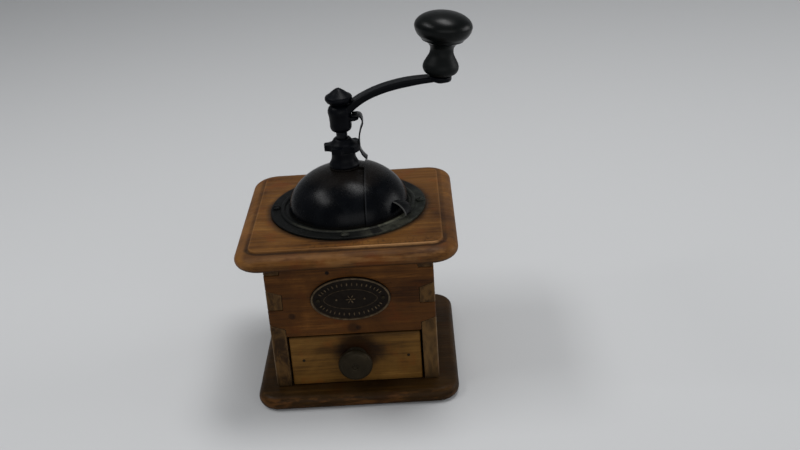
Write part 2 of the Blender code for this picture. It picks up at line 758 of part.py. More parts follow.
def build_door():
    foot = FLANGE_TOP + SEAT
    section = shell_section(DOOR_GAP, DOOR_WALL, DOME_BORE, foot)
    door = turned("hopper_door", section, BLACK_ENAMEL, WIDE_STEPS, hollow=True)
    plan = slab_mesh(door_plan(), "Z", FLANGE_FOOT, PILLAR_TOP)
    boolean(door, as_cutter(add_object("door_plan", plan)), "INTERSECT")
    boolean(door, as_cutter(add_object("thumb_lip", thumb_lip_mesh())), "UNION")
    hang(pivot("door_axis", (0.0, 0.0, DOOR_LAND_FOOT)), door)


def build_pillar():
    bore = SHAFT_RADIUS + RUNNING
    rivet_top = SPIGOT_FOOT + SPIGOT_RIVET_THICK
    flare = arc(PILLAR_BASE, PILLAR_FOOT + 0.0012 + PILLAR_FLARE, -(PILLAR_BASE - PILLAR_NECK), PILLAR_FLARE,
                -90, 0, 3)
    profile = [(SPIGOT_RIVET, SPIGOT_FOOT), (SPIGOT_RIVET, rivet_top), (SPIGOT_RADIUS, rivet_top),
               (SPIGOT_RADIUS, PILLAR_FOOT), (PILLAR_BASE - 0.0004, PILLAR_FOOT),
               (PILLAR_BASE, PILLAR_FOOT + 0.0004), *flare,
               (PILLAR_NECK, PILLAR_TOP - 0.0004), (PILLAR_NECK - 0.0004, PILLAR_TOP),
               (bore, PILLAR_TOP), (bore, SPIGOT_FOOT)]
    turned("bearing_pillar", profile, BLACK_ENAMEL, 20, hollow=True)


def build_shaft():
    square_foot = HUB_FOOT - SEAT
    rings = [round_ring(JOURNAL_RADIUS, BRIDGE_FOOT - BRIDGE_BOSS_DROP - 0.001),
             round_ring(JOURNAL_RADIUS, BURR_FOOT - SEAT / 2),
             milled_ring(SHAFT_FLAT, SHAFT_RADIUS, BURR_FOOT - SEAT / 2),
             milled_ring(SHAFT_FLAT, SHAFT_RADIUS, COLLAR_FOOT),
             round_ring(COLLAR_RADIUS, COLLAR_FOOT),
             round_ring(COLLAR_RADIUS, COLLAR_TOP),
             round_ring(SHAFT_RADIUS, COLLAR_TOP),
             round_ring(SHAFT_RADIUS, square_foot),
             milled_ring(SHAFT_FLAT, SHAFT_RADIUS, square_foot),
             milled_ring(SHAFT_FLAT, SHAFT_RADIUS, HUB_TOP),
             round_ring(THREAD_RADIUS, HUB_TOP),
             round_ring(THREAD_RADIUS, CAP_FOOT + SHAFT_THREAD)]
    return add_object("shaft", loft_mesh(rings), BRIGHT_STEEL)


def burr_crest(share):
    """Crest radius of the inner burr: a fine cone below the waist, a slender one above."""
    waist = BURR_WAIST / BURR_HEIGHT
    if share < waist:
        return BURR_FOOT_RADIUS + (BURR_WAIST_RADIUS - BURR_FOOT_RADIUS) * share / waist
    climb = (share - waist) / (1 - waist)
    return BURR_WAIST_RADIUS + (BURR_TOP_RADIUS - BURR_WAIST_RADIUS) * climb


def inner_burr_mesh():
    """Saw teeth that climb as a helix: fine ones at the foot, every third grows into a flight."""
    levels = 7
    teeth_in_flight = BURR_TEETH // FLIGHTS
    rings = []
    for level in range(levels + 1):
        share = level / levels
        crest = burr_crest(share)
        flight = FLIGHT_DEPTH * max(0.0, (share - 0.25) / 0.75)
        fine = TOOTH_DEPTH * min(1.0, (1 - share) / 0.6)
        ring = []
        for tooth in range(BURR_TEETH):
            for step, saw in ((0.0, 0.0), (SAW_LEAN, 1.0)):
                angle = 2 * pi * (tooth + step) / BURR_TEETH + radians(BURR_TWIST) * share
                flight_saw = (tooth % teeth_in_flight + saw) / teeth_in_flight
                radius = crest - fine * (1 - saw) - flight * (1 - flight_saw)
                ring.append((radius * cos(angle), radius * sin(angle), BURR_FOOT + BURR_HEIGHT * share))
        rings.append(ring)
    return loft_mesh(rings)


def ring_crest(z):
    """Crest radius of the burr ring's teeth, which keeps the burr gap to the inner burr."""
    share = (z - BURR_FOOT) / BURR_HEIGHT
    waist = BURR_WAIST / BURR_HEIGHT
    if share < waist:
        return burr_crest(max(0.0, share)) + BURR_GAP
    climb = (z - BURR_FOOT - BURR_WAIST) / (RING_TOP - BURR_FOOT - BURR_WAIST)
    waist_radius = BURR_WAIST_RADIUS + BURR_GAP
    return waist_radius + (RING_MOUTH - TOOTH_DEPTH - waist_radius) * climb


def ring_bore_mesh():
    """The toothed hollow of the outer burr, as a solid that is cut out of it."""
    heights = [RING_FOOT - 0.0005, BURR_FOOT, BURR_FOOT + BURR_WAIST]
    levels = 2
    for level in range(1, levels + 1):
        heights.append(heights[2] + (RING_TOP + 0.0005 - heights[2]) * level / levels)
    rings = []
    for z in heights:
        turn = radians(-BURR_TWIST * 0.5) * (z - RING_FOOT) / RING_HEIGHT
        ring = []
        for tooth in range(RING_TEETH):
            for step, depth in ((0.0, 0.0), (SAW_LEAN, TOOTH_DEPTH)):
                angle = 2 * pi * (tooth + step) / RING_TEETH + turn
                radius = ring_crest(z) + depth
                ring.append((radius * cos(angle), radius * sin(angle), z))
        rings.append(ring)
    return loft_mesh(rings)


def build_burrs(bolt_drills):
    burr = add_object("inner_burr", inner_burr_mesh(), BURR_IRON, 25.0)
    square = loft_mesh([milled_ring(SHAFT_FLAT + RUNNING, SHAFT_RADIUS + RUNNING, z)
                        for z in (BURR_FOOT - OVERCUT, BURR_TOP + OVERCUT)])
    boolean(burr, as_cutter(add_object("burr_square_hole", square)))
    body = [(0.0, RING_FOOT), (RING_WALL_RADIUS - 0.0005, RING_FOOT), (RING_WALL_RADIUS, RING_FOOT + 0.0005),
            (RING_WALL_RADIUS, RING_TOP - RING_FLANGE_THICK), (FOOT_RADIUS, RING_TOP - RING_FLANGE_THICK),
            (FOOT_RADIUS, RING_TOP), (0.0, RING_TOP)]
    ring = turned("outer_burr", body, BURR_IRON)
    boolean(ring, as_cutter(add_object("toothed_bore", ring_bore_mesh())))
    boolean(ring, bolt_drills)
    nut = loft_mesh([at_height(hexagon(BURR_NUT_RADIUS), BRIDGE_TOP + SEAT),
                     at_height(hexagon(BURR_NUT_RADIUS), BRIDGE_TOP + SEAT + BURR_NUT_THICK),
                     round_ring(JOURNAL_RADIUS + RUNNING, BRIDGE_TOP + SEAT + BURR_NUT_THICK, 12),
                     round_ring(JOURNAL_RADIUS + RUNNING, BRIDGE_TOP + SEAT, 12)], closed=True)
    add_object("burr_nut", nut, BRIGHT_STEEL)
    return burr, ring


def hexagon(radius, steps=12):
    """A hexagon drawn with the same number of points as a round ring."""
    points = []
    for i in range(steps):
        angle = 2 * pi * i / steps
        reach = radius * cos(pi / 6) / cos((angle + pi / 6) % (pi / 3) - pi / 6)
        points.append((reach * cos(angle), reach * sin(angle)))
    return points


def build_bridge(ring):
    """A bar under the burr ring with a boss that carries the shaft's lower end."""
    half = BRIDGE_WIDTH / 2
    reach = RING_WALL_RADIUS
    outline = arc(reach - half, 0.0, half, half, -90, 90, 6) + arc(half - reach, 0.0, half, half, 90, 270, 6)
    bar = slab_mesh(outline, "Z", BRIDGE_FOOT, BRIDGE_TOP)
    bridge = add_object("bearing_bridge", bar, DARK_IRON)
    boss = slab_mesh(circle(BRIDGE_BOSS_RADIUS, 20), "Z", BRIDGE_FOOT - BRIDGE_BOSS_DROP,
                     BRIDGE_TOP - BRIDGE_THICK / 2)
    boolean(bridge, as_cutter(add_object("bridge_boss", boss)), "UNION")
    bore = drill_mesh([(0.0, 0.0)], JOURNAL_RADIUS + RUNNING, BRIDGE_FOOT - 2 * OVERCUT,
                      BRIDGE_TOP + OVERCUT, SHAFT_STEPS)
    boolean(bridge, as_cutter(add_object("bridge_bore", bore)))
    spots = [(-BRIDGE_SCREW_X, 0.0), (BRIDGE_SCREW_X, 0.0)]
    holes = drill_mesh(spots, BRIDGE_SCREW_RADIUS + RUNNING, BRIDGE_FOOT - OVERCUT,
                       RING_FOOT + BRIDGE_SCREW_GRIP + SEAT)
    holes = as_cutter(add_object("bridge_screw_drills", holes))
    boolean(bridge, holes)
    boolean(ring, holes)
    for name, (x, y) in zip(("bridge_screw_left", "bridge_screw_right"), spots):
        length = BRIDGE_THICK + SEAT + BRIDGE_SCREW_GRIP
        screw = turned(name, screw_profile(BRIDGE_SCREW_RADIUS, length, BRIDGE_SCREW_HEAD,
                                           BRIDGE_SCREW_HEAD_THICK, SEAT), BRIGHT_STEEL, SMALL_STEPS)
        screw.rotation_euler = (pi, 0.0, 0.0)
        screw.location = (x, y, BRIDGE_FOOT)


def build_spring():
    washer_foot = COLLAR_TOP + SEAT
    washer_top = washer_foot + WASHER_THICK
    bore = SHAFT_RADIUS + RUNNING
    section = [(WASHER_RADIUS, washer_foot), (WASHER_RADIUS, washer_top), (bore, washer_top),
               (bore, washer_foot)]
    washer = turned("spring_washer", section, BRIGHT_STEEL, SHAFT_STEPS, hollow=True)
    low = washer_top + SEAT + SPRING_WIRE
    high = SPIGOT_FOOT - SEAT - SPRING_WIRE
    curve = bpy.data.curves.new("burr_spring", "CURVE")
    curve.dimensions = "3D"
    curve.bevel_depth = SPRING_WIRE
    curve.bevel_resolution = 1
    curve.use_fill_caps = True
    count = SPRING_TURNS * SPRING_STEPS
    wire = curve.splines.new("POLY")
    wire.points.add(count)
    for i in range(count + 1):
        angle = 2 * pi * i / SPRING_STEPS
        height = low + (high - low) * i / count
        wire.points[i].co = (SPRING_RADIUS * cos(angle), SPRING_RADIUS * sin(angle), height, 1.0)
    spring = bpy.data.objects.new("burr_spring", curve)
    bpy.context.scene.collection.objects.link(spring)
    curve.materials.append(finish_material("burr_spring", *BRIGHT_STEEL))
    gap = (high - low) / SPRING_TURNS - 2 * SPRING_WIRE
    print("least gap between the spring's turns: %.2f mm" % (gap * 1000))
    return washer, spring


def star_outline(shrink=0.0, round_radius=None):
    """Outline of the adjusting nut, or a ring with its points at the same angles.

    Each lobe has four points and each notch three; one notch faces +X.
    """
    pitch = 2 * pi / NUT_LOBES
    flank = radians(NUT_LOBE_ANGLE / 2)
    steps = [(-flank, NUT_RADIUS), (-flank * 0.4, NUT_RADIUS), (flank * 0.4, NUT_RADIUS), (flank, NUT_RADIUS),
             (flank + NUT_NOTCH_FLANK, NUT_NOTCH_RADIUS), (pitch / 2, NUT_NOTCH_RADIUS),
             (pitch - flank - NUT_NOTCH_FLANK, NUT_NOTCH_RADIUS)]
    points = []
    for lobe in range(NUT_LOBES):
        for turn, radius in steps:
            angle = pitch * (lobe + 0.5) + turn
            reach = round_radius or radius - shrink
            points.append((reach * cos(angle), reach * sin(angle)))
    return points


def build_adjusting_nut():
    bore = SHAFT_RADIUS + RUNNING
    edge_foot = NUT_FOOT + NUT_HUB_DROP
    edge_top = edge_foot + NUT_EDGE_THICK
    rings = [at_height(star_outline(round_radius=NUT_HUB_RADIUS), NUT_FOOT),
             at_height(star_outline(round_radius=NUT_HUB_RADIUS), edge_foot),
             at_height(star_outline(), edge_foot),
             at_height(star_outline(), edge_top - NUT_BEVEL),
             at_height(star_outline(NUT_BEVEL), edge_top)]
    for share in (0.35, 0.72, 1.0):
        radius = NUT_CROWN_RADIUS + (NUT_NOTCH_RADIUS - NUT_BEVEL - NUT_CROWN_RADIUS) * (1 - share ** 2)
        rings.append(at_height(star_outline(round_radius=radius), edge_top + (NUT_TOP - edge_top) * share))
    rings += [at_height(star_outline(round_radius=bore), z) for z in (NUT_TOP, NUT_FOOT)]
    nut = add_object("adjusting_nut", loft_mesh(rings, closed=True), BLACK_ENAMEL, 30.0)
    hang(pivot("adjuster_axis", (0.0, 0.0, NUT_FOOT)), nut)


def hub_mesh():
    """Bulged crank hub with a milled square hole."""
    bore_flat = SHAFT_FLAT + RUNNING
    bore_round = SHAFT_RADIUS + RUNNING
    outside = [(0.65, 0.0), (0.81, 0.04), (0.91, 0.15), (0.92, 0.40), (0.95, 0.57), (1.0, 0.69), (1.0, 0.79),
               (0.88, 0.90), (HUB_TOP_RADIUS / HUB_RADIUS, 1.0)]
    steps = 20
    rings = [round_ring(HUB_RADIUS * r, HUB_FOOT + HUB_HEIGHT * z, steps) for r, z in outside]
    rings += [milled_ring(bore_flat, bore_round, z, steps) for z in (HUB_TOP, HUB_FOOT)]
    return loft_mesh(rings, closed=True)


def arm_point(t):
    """Middle line of the arm in the XZ plane, a Bezier curve from hub to eye."""
    start = Vector((ARM_ROOT_X, HUB_TOP - ARM_ROOT_DROP))
    end = Vector((ARM_REACH, ARM_END_Z))
    lift = start + Vector((0.0093, 0.0098))
    reach = end + Vector((-0.0310, 0.0014))
    s = 1 - t
    return start * s ** 3 + lift * 3 * s * s * t + reach * 3 * s * t * t + end * t ** 3


def arm_mesh():
    """Flat bar that follows the arm's curve, thick at its root and thin at the eye."""
    steps = 12
    rings = []
    for i in range(steps + 1):
        t = 0.95 * i / steps
        here = arm_point(t)
        ahead = arm_point(t + 0.01)
        along = (ahead - here).normalized()
        across = Vector((-along.y, along.x))
        thick = ARM_THICK + (ARM_ROOT_THICK - ARM_THICK) * max(0.0, 1 - 3 * t)
        half = (ARM_WIDTH + (ARM_ROOT_WIDTH - ARM_WIDTH) * (1 - t)) / 2
        corner = min(0.0011, thick * 0.35)
        section = rounded_rectangle(half, thick / 2, corner, 1)
        rings.append([(here.x + across.x * v, u, here.y + across.y * v) for u, v in section])
    return loft_mesh(rings)


def eye_matrix():
    return Matrix.Translation((ARM_REACH, 0.0, ARM_END_Z)) @ Matrix.Rotation(radians(KNOB_TILT), 4, "Y")


def build_crank():
    crank = add_object("crank_arm", hub_mesh(), BLACK_ENAMEL, 40.0)
    boolean(crank, as_cutter(add_object("arm_bar", arm_mesh())), "UNION")
    half = ARM_THICK / 2
    eye_outline = [(0.0, -half), (EYE_RADIUS - EYE_BEVEL, -half), (EYE_RADIUS, EYE_BEVEL - half),
                   (EYE_RADIUS, half - EYE_BEVEL), (EYE_RADIUS - EYE_BEVEL, half), (0.0, half)]
    eye = turned_mesh(eye_outline, 20)
    bmesh.ops.transform(eye, matrix=eye_matrix(), verts=eye.verts)
    boolean(crank, as_cutter(add_object("arm_eye", eye)), "UNION")
    plan = arc(LUG_REACH - LUG_WIDTH / 2, 0.0, LUG_WIDTH / 2, LUG_WIDTH / 2, -90, 90, 6)
    plan += [(HUB_RADIUS - 0.002, LUG_WIDTH / 2), (HUB_RADIUS - 0.002, -LUG_WIDTH / 2)]
    lug = slab_mesh(plan, "Z", LUG_TOP - LUG_THICK, LUG_TOP)
    boolean(crank, as_cutter(add_object("latch_lug", lug)), "UNION")
    rivet_drill = drill_mesh([(RIVET_X, 0.0)], RIVET_RADIUS + RUNNING, LUG_TOP - LUG_THICK - OVERCUT,
                             LUG_TOP + OVERCUT)
    boolean(crank, as_cutter(add_object("rivet_drill", rivet_drill)))
    pin_drill = drill_mesh([(0.0, 0.0)], PIN_RADIUS + RUNNING, -half - OVERCUT, half + OVERCUT, SHAFT_STEPS)
    bmesh.ops.transform(pin_drill, matrix=eye_matrix(), verts=pin_drill.verts)
    boolean(crank, as_cutter(add_object("pin_drill", pin_drill)))
    return crank


def build_cap_nut():
    bore = THREAD_RADIUS + RUNNING
    depth = CAP_FOOT + SHAFT_THREAD + SEAT
    profile = [(0.0, depth), (bore, depth), (bore, CAP_FOOT), (CAP_FOOT_RADIUS, CAP_FOOT),
               (CAP_RADIUS - 0.0008, CAP_FOOT + 0.0014),
               *arc(CAP_RADIUS - 0.0012, CAP_FOOT + CAP_RIM_Z, 0.0012, 0.0016, -60, 60, 2),
               (0.0022, CAP_FOOT + CAP_HEIGHT - 0.0004), (0.0, CAP_FOOT + CAP_HEIGHT)]
    return turned("cap_nut", profile, BLACK_ENAMEL)


def latch_line():
    """Middle line of the latch strip, in the XZ plane, from its root to its finger tab."""
    root_z = LATCH_ROOT_Z
    nut_edge = NUT_FOOT + NUT_HUB_DROP
    return [(RIVET_X - 0.0016, root_z), (RIVET_X + 0.0014, root_z), (0.0128, root_z - 0.0006),
            (0.0141, root_z - 0.0030), (0.0139, root_z - 0.0062), (0.0124, HUB_FOOT + 0.0012),
            (LATCH_NOTCH_X + 0.0001, NUT_TOP + 0.0004), (LATCH_NOTCH_X, nut_edge + 0.0020),
            (LATCH_NOTCH_X + 0.0001, nut_edge - 0.0002), (LATCH_NOTCH_X + 0.0013, nut_edge - 0.0032),
            (LATCH_TIP_X, nut_edge - LATCH_TIP_DROP)]


def latch_mesh():
    """Sweeps the strip's section along its line; it narrows below the curl."""
    line = smooth_curve(latch_line(), 2)
    rings = []
    for i, (x, z) in enumerate(line):
        before = Vector(line[max(i - 1, 0)])
        after = Vector(line[min(i + 1, len(line) - 1)])
        along = (after - before).normalized()
        across = Vector((-along.y, along.x)) * LATCH_THICK / 2
        drop = (LATCH_ROOT_Z - z) / (LATCH_ROOT_Z - HUB_FOOT)
        width = LATCH_WIDTH + (LATCH_TIP_WIDTH - LATCH_WIDTH) * min(1.0, max(0.0, drop))
        half = width / 2
        rings.append([(x + across.x, -half, z + across.y), (x + across.x, half, z + across.y),
                      (x - across.x, half, z - across.y), (x - across.x, -half, z - across.y)])
    return loft_mesh(rings)


def build_latch():
    latch = add_object("latch_spring", latch_mesh(), BRIGHT_STEEL, 40.0)
    drill = drill_mesh([(RIVET_X, 0.0)], RIVET_RADIUS + RUNNING, LATCH_ROOT_Z - OVERCUT,
                       LATCH_ROOT_Z + OVERCUT)
    boolean(latch, as_cutter(add_object("latch_hole", drill)))
    hang(pivot("latch_pivot", (RIVET_X, 0.0, LATCH_ROOT_Z)), latch)
    length = LATCH_THICK + 2 * SEAT + LUG_THICK
    rivet = turned("latch_rivet", screw_profile(RIVET_RADIUS, length, RIVET_HEAD, RIVET_HEAD_RISE, 0.0),
                   BRIGHT_STEEL, SMALL_STEPS)
    rivet.location = (RIVET_X, 0.0, LATCH_ROOT_Z + LATCH_THICK / 2 + SEAT)
    return rivet


def knob_profile():
    """Mushroom with a lip, a slim neck and a bulb, bored from below; height 0 is its foot."""
    crown_z = KNOB_HEIGHT - KNOB_CROWN
    bore = PIN_RADIUS + RUNNING
    body = smooth_curve([(KNOB_FOOT_RADIUS, 0.0), (KNOB_BULB_RADIUS, 0.0046),
                         (KNOB_BULB_RADIUS - 0.0016, 0.0094), (KNOB_NECK_RADIUS, 0.0150),
                         (KNOB_NECK_RADIUS + 0.0008, 0.0184), (KNOB_LIP_RADIUS, 0.0220),
                         (KNOB_RADIUS - 0.0014, 0.0268), (KNOB_RADIUS, crown_z)], 2)
    crown = arc(0.0, crown_z, KNOB_RADIUS, KNOB_CROWN, 0, 90, 6)
    return [(0.0, KNOB_BORE_DEPTH), (bore, KNOB_BORE_DEPTH), (bore, 0.0), *body, *crown[1:-1],
            (0.0, KNOB_HEIGHT)]


def build_handle():
    """Knob and pin stand on the arm's eye along its leaning axis."""
    axis = pivot("knob_axis", (ARM_REACH, 0.0, ARM_END_Z), (0.0, radians(KNOB_TILT), 0.0))
    knob = turned("handle_knob", knob_profile(), BLACK_LACQUER)
    knob.parent = axis
    knob.location = (0.0, 0.0, ARM_THICK / 2 + SEAT)
    head_foot = -ARM_THICK / 2 - SEAT
    profile = [(0.0, head_foot - PIN_HEAD_RISE), (PIN_HEAD - 0.0008, head_foot - PIN_HEAD_RISE),
               (PIN_HEAD, head_foot), (PIN_RADIUS, head_foot), (PIN_RADIUS, PIN_LENGTH - 0.0006),
               (PIN_RADIUS - 0.0006, PIN_LENGTH), (0.0, PIN_LENGTH)]
    pin = turned("knob_pin", profile, BRIGHT_STEEL, SHAFT_STEPS)
    pin.parent = axis
    return pin


def build_badge(front_panel):
    """Oval plate with a raised rim and a raised inner line, nailed on at both ends."""
    face = -CASE_Y - SEAT

    def oval(inset, out):
        outline = arc(0.0, 0.0, BADGE_WIDTH / 2 - inset, BADGE_HEIGHT / 2 - inset, 0, 360, WIDE_STEPS)
        return [(x, face - out, BADGE_CENTRE_Z + z) for x, z in outline[:-1]]

    field = BADGE_THICK
    line = BADGE_HEIGHT * 0.17
    rings = [oval(0.0, 0.0), oval(0.0, field), oval(BADGE_RIM * 0.25, field + BADGE_RIM_RISE * 0.8),
             oval(BADGE_RIM * 0.6, field + BADGE_RIM_RISE), oval(BADGE_RIM, field),
             oval(line, field), oval(line + 0.0004, field + 0.0004), oval(line + 0.0008, field)]
    badge = add_object("badge_plate", loft_mesh(rings), BRONZE, 40.0)
    spots = [(-BADGE_NAIL_SPREAD / 2, BADGE_CENTRE_Z), (BADGE_NAIL_SPREAD / 2, BADGE_CENTRE_Z)]
    drills = front_drill_mesh(spots, NAIL_RADIUS + RUNNING, -CASE_Y - BADGE_THICK - OVERCUT,
                              -CASE_Y + NAIL_LENGTH + SEAT, SMALL_STEPS)
    drills = as_cutter(add_object("badge_nail_drills", drills))
    boolean(badge, drills)
    boolean(front_panel, drills)
    for name, (x, z) in zip(("badge_nail_left", "badge_nail_right"), spots):
        length = NAIL_LENGTH + BADGE_THICK + SEAT
        nail = turned(name, screw_profile(NAIL_RADIUS, length, NAIL_HEAD, NAIL_HEAD_RISE, SEAT), BRONZE,
                      SMALL_STEPS)
        nail.rotation_euler = (pi / 2, 0.0, 0.0)
        nail.location = (x, face - BADGE_THICK, z)


def drawer_box(name, low, high, material, edge=0.0005):
    return add_object(name, soften(box_mesh(low, high), edge, None, 1), material, 28.0)


def build_drawer():
    track = pivot("drawer_track", (0.0, DRAWER_FACE, DRAWER_FOOT))
    front = drawer_box("drawer_front", (-DRAWER_HALF, DRAWER_FACE, DRAWER_FOOT),
                       (DRAWER_HALF, DRAWER_INNER_FACE, DRAWER_TOP), WOOD_DRAWER, 0.0007)
    rear_face = DRAWER_REAR - DRAWER_BACK_THICK
    side_low = DRAWER_FOOT + SEAT + DRAWER_BOTTOM_THICK + SEAT
    side_high = side_low + DRAWER_SIDE_HEIGHT
    outer = DRAWER_HALF - DRAWER_SIDE_INSET
    inner = outer - DRAWER_SIDE_THICK
    start = DRAWER_INNER_FACE + SEAT
    left = drawer_box("drawer_left_side", (-outer, start, side_low), (-inner, DRAWER_REAR, side_high),
                      WOOD_INSIDE)
    right = drawer_box("drawer_right_side", (inner, start, side_low), (outer, DRAWER_REAR, side_high),
                       WOOD_INSIDE)
    back = drawer_box("drawer_back", (-inner + SEAT, rear_face, side_low),
                      (inner - SEAT, DRAWER_REAR, side_high), WOOD_INSIDE)
    bottom = drawer_box("drawer_bottom", (-outer, start, DRAWER_FOOT + SEAT),
                        (outer, DRAWER_REAR, DRAWER_FOOT + SEAT + DRAWER_BOTTOM_THICK), WOOD_INSIDE)
    knob, screw = build_drawer_knob(front)
    hang(track, front, left, right, back, bottom, knob, screw)


def build_drawer_knob(front):
    """Turned knob whose front is dished round a dimple, held by a screw from inside."""
    reach = DRAWER_KNOB_REACH
    radius = DRAWER_KNOB_RADIUS
    hole = KNOB_SCREW_RADIUS + RUNNING
    screw_end = SEAT + KNOB_SCREW_GRIP
    skirt = smooth_curve([(DRAWER_KNOB_STEM + 0.0012, 0.0), (DRAWER_KNOB_STEM, reach * 0.22),
                          (radius * 0.80, reach * 0.45), (radius, reach * 0.66),
                          (radius * 0.93, reach * 0.86), (radius * 0.66, reach * 0.97)], 2)
    dimple = [(radius * 0.34, reach), (0.0017, reach * 0.985), (0.0012, reach * 0.90), (0.0, reach * 0.88)]
    profile = [(0.0, screw_end), (hole, screw_end), (hole, 0.0), *skirt, *dimple]
    knob = turned("drawer_knob", profile, DARK_IRON, 20)
    knob.rotation_euler = (pi / 2, 0.0, 0.0)
    knob.location = (0.0, DRAWER_FACE - SEAT, DRAWER_MIDDLE)
    drill = front_drill_mesh([(0.0, DRAWER_MIDDLE)], hole, DRAWER_FACE - OVERCUT, DRAWER_INNER_FACE + OVERCUT)
    boolean(front, as_cutter(add_object("knob_screw_drill", drill)))
    length = DRAWER_FRONT_THICK + 2 * SEAT + KNOB_SCREW_GRIP - SEAT
    screw = turned("drawer_knob_screw", screw_profile(KNOB_SCREW_RADIUS, length, KNOB_SCREW_HEAD,
                                                      KNOB_SCREW_HEAD_THICK, SEAT), BRIGHT_STEEL,
                   SMALL_STEPS)
    screw.rotation_euler = (-pi / 2, 0.0, 0.0)
    screw.location = (0.0, DRAWER_INNER_FACE, DRAWER_MIDDLE)
    return knob, screw


def main():
    clear_scene()
    build_base()
    front_panel = build_case()
    board = build_top_board()
    bolt_drills = build_bowl(board)
    build_dome()
    build_door()
    build_pillar()
    shaft = build_shaft()
    burr, ring = build_burrs(bolt_drills)
    build_bridge(ring)
    washer, spring = build_spring()
    build_adjusting_nut()
    crank = build_crank()
    cap = build_cap_nut()
    rivet = build_latch()
    pin = build_handle()
    build_badge(front_panel)
    build_drawer()
    hang(pivot("crank_axis", (0.0, 0.0, HUB_FOOT)), shaft, burr, washer, spring, crank, cap, rivet)


main()
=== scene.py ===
"""Old wooden box coffee mill: iron crank with a turned black knob, domed hopper with a
turning door, notched adjusting nut with its latch spring, oval badge and a drawer.

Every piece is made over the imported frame. Lengths are written in millimetres and multiplied
by MM; only the finishes measure places in metres. The front with the drawer faces -Y.
"""
from math import acos, asin, atan2, cos, degrees, hypot, pi, radians, sin

import bpy
from mathutils import Matrix, Vector


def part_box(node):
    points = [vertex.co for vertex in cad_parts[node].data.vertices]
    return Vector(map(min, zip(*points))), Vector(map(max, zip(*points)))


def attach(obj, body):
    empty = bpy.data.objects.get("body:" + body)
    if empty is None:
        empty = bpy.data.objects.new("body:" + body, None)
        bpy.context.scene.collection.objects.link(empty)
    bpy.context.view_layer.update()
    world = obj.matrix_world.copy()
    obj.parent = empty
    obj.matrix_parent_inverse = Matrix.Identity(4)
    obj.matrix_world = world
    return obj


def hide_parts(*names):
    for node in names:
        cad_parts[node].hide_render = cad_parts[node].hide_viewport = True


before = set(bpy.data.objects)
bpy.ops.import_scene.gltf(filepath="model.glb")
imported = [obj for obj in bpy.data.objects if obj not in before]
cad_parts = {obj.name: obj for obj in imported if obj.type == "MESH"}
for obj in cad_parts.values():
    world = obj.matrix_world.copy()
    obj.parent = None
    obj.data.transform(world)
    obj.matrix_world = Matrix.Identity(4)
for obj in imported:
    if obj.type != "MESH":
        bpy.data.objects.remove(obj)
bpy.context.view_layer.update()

MM = 0.001
POLE = 0.01              # radius of a turned piece's ring at the axis, before it is merged
MERGE = 0.000025
FINE_MERGE = 0.000004    # for pieces whose points lie close together after a cut
CAD_MERGE = 0.000002
AXIS = (0.0, 0.0, 0.0)
FAR = 60                 # beyond the dome's side, for the cutters that trim it (mm)
FACING = Matrix.Rotation(pi / 2, 4, "X")    # turns a piece made round Z to the front


# Handling of pieces

def rest():
    """Leaves edit mode with nothing selected."""
    if bpy.context.mode != "OBJECT":
        bpy.ops.object.mode_set(mode="OBJECT")
    bpy.ops.object.select_all(action="DESELECT")


def pick(piece):
    rest()
    piece.select_set(True)
    bpy.context.view_layer.objects.active = piece


def edit(piece):
    pick(piece)
    bpy.ops.object.mode_set(mode="EDIT")
    bpy.ops.mesh.select_mode(type="VERT")
    bpy.ops.mesh.select_all(action="SELECT")


def started(name, add, **settings):
    """Adds a primitive in its place and opens it in edit mode, all selected."""
    rest()
    add(**settings)
    piece = bpy.context.object
    piece.name = name
    piece.data.name = name
    edit(piece)
    return piece


def stretched(factors, centre):
    """Stretches what is selected from a centre."""
    bpy.ops.transform.resize(value=factors, center_override=centre)


def turn_about(angle):
    """Turns what is selected round the mill's axis, from +X towards +Y, in degrees."""
    bpy.ops.transform.rotate(value=-radians(angle), orient_axis="Z", center_override=AXIS)


def drawn_out(x=0.0, y=0.0, z=0.0):
    """Extrudes what is selected and moves it on (mm)."""
    bpy.ops.mesh.extrude_region_move(TRANSFORM_OT_translate={"value": (x * MM, y * MM, z * MM)})


def choose(piece, kind, test):
    """Selects the faces (FACE) or points (VERT) that pass a test on place and normal, in edit mode."""
    bpy.ops.object.mode_set(mode="EDIT")
    bpy.ops.mesh.select_mode(type=kind)
    bpy.ops.mesh.select_all(action="DESELECT")
    bpy.ops.object.mode_set(mode="OBJECT")
    for part in piece.data.polygons if kind == "FACE" else piece.data.vertices:
        place = part.center if kind == "FACE" else part.co
        part.select = test(piece.matrix_world @ place, part.normal)
    bpy.ops.object.mode_set(mode="EDIT")


def applied(piece, kind, **settings):
    """Adds a modifier with its settings and applies it."""
    pick(piece)
    modifier = piece.modifiers.new(kind.title(), kind)
    for key, value in settings.items():
        setattr(modifier, key, value)
    bpy.ops.object.modifier_apply(modifier=modifier.name)


def gone(piece):
    bpy.data.objects.remove(piece, do_unlink=True)


def carved(piece, cutter, operation="DIFFERENCE"):
    """Cuts, joins or trims a piece with another one, which is used up."""
    applied(piece, "BOOLEAN", object=cutter, operation=operation, solver="EXACT")
    gone(cutter)
    return piece


def settled(piece, angle=35.0, merge=MERGE):
    """Merges doubles, turns faces outwards, puts the place into the mesh and smooths it."""
    edit(piece)
    bpy.ops.mesh.remove_doubles(threshold=merge)
    bpy.ops.mesh.normals_make_consistent(inside=False)
    pick(piece)
    bpy.ops.object.transform_apply(location=True, rotation=True, scale=True)
    bpy.ops.object.shade_smooth_by_angle(angle=radians(angle))
    return piece


def eased(piece, width, segments=2, angle=30.0, smooth=40.0):
    """Rounds every edge sharper than the angle."""
    applied(piece, "BEVEL", width=width * MM, segments=segments, limit_method="ANGLE",
            angle_limit=radians(angle))
    pick(piece)
    bpy.ops.object.shade_smooth_by_angle(angle=radians(smooth))


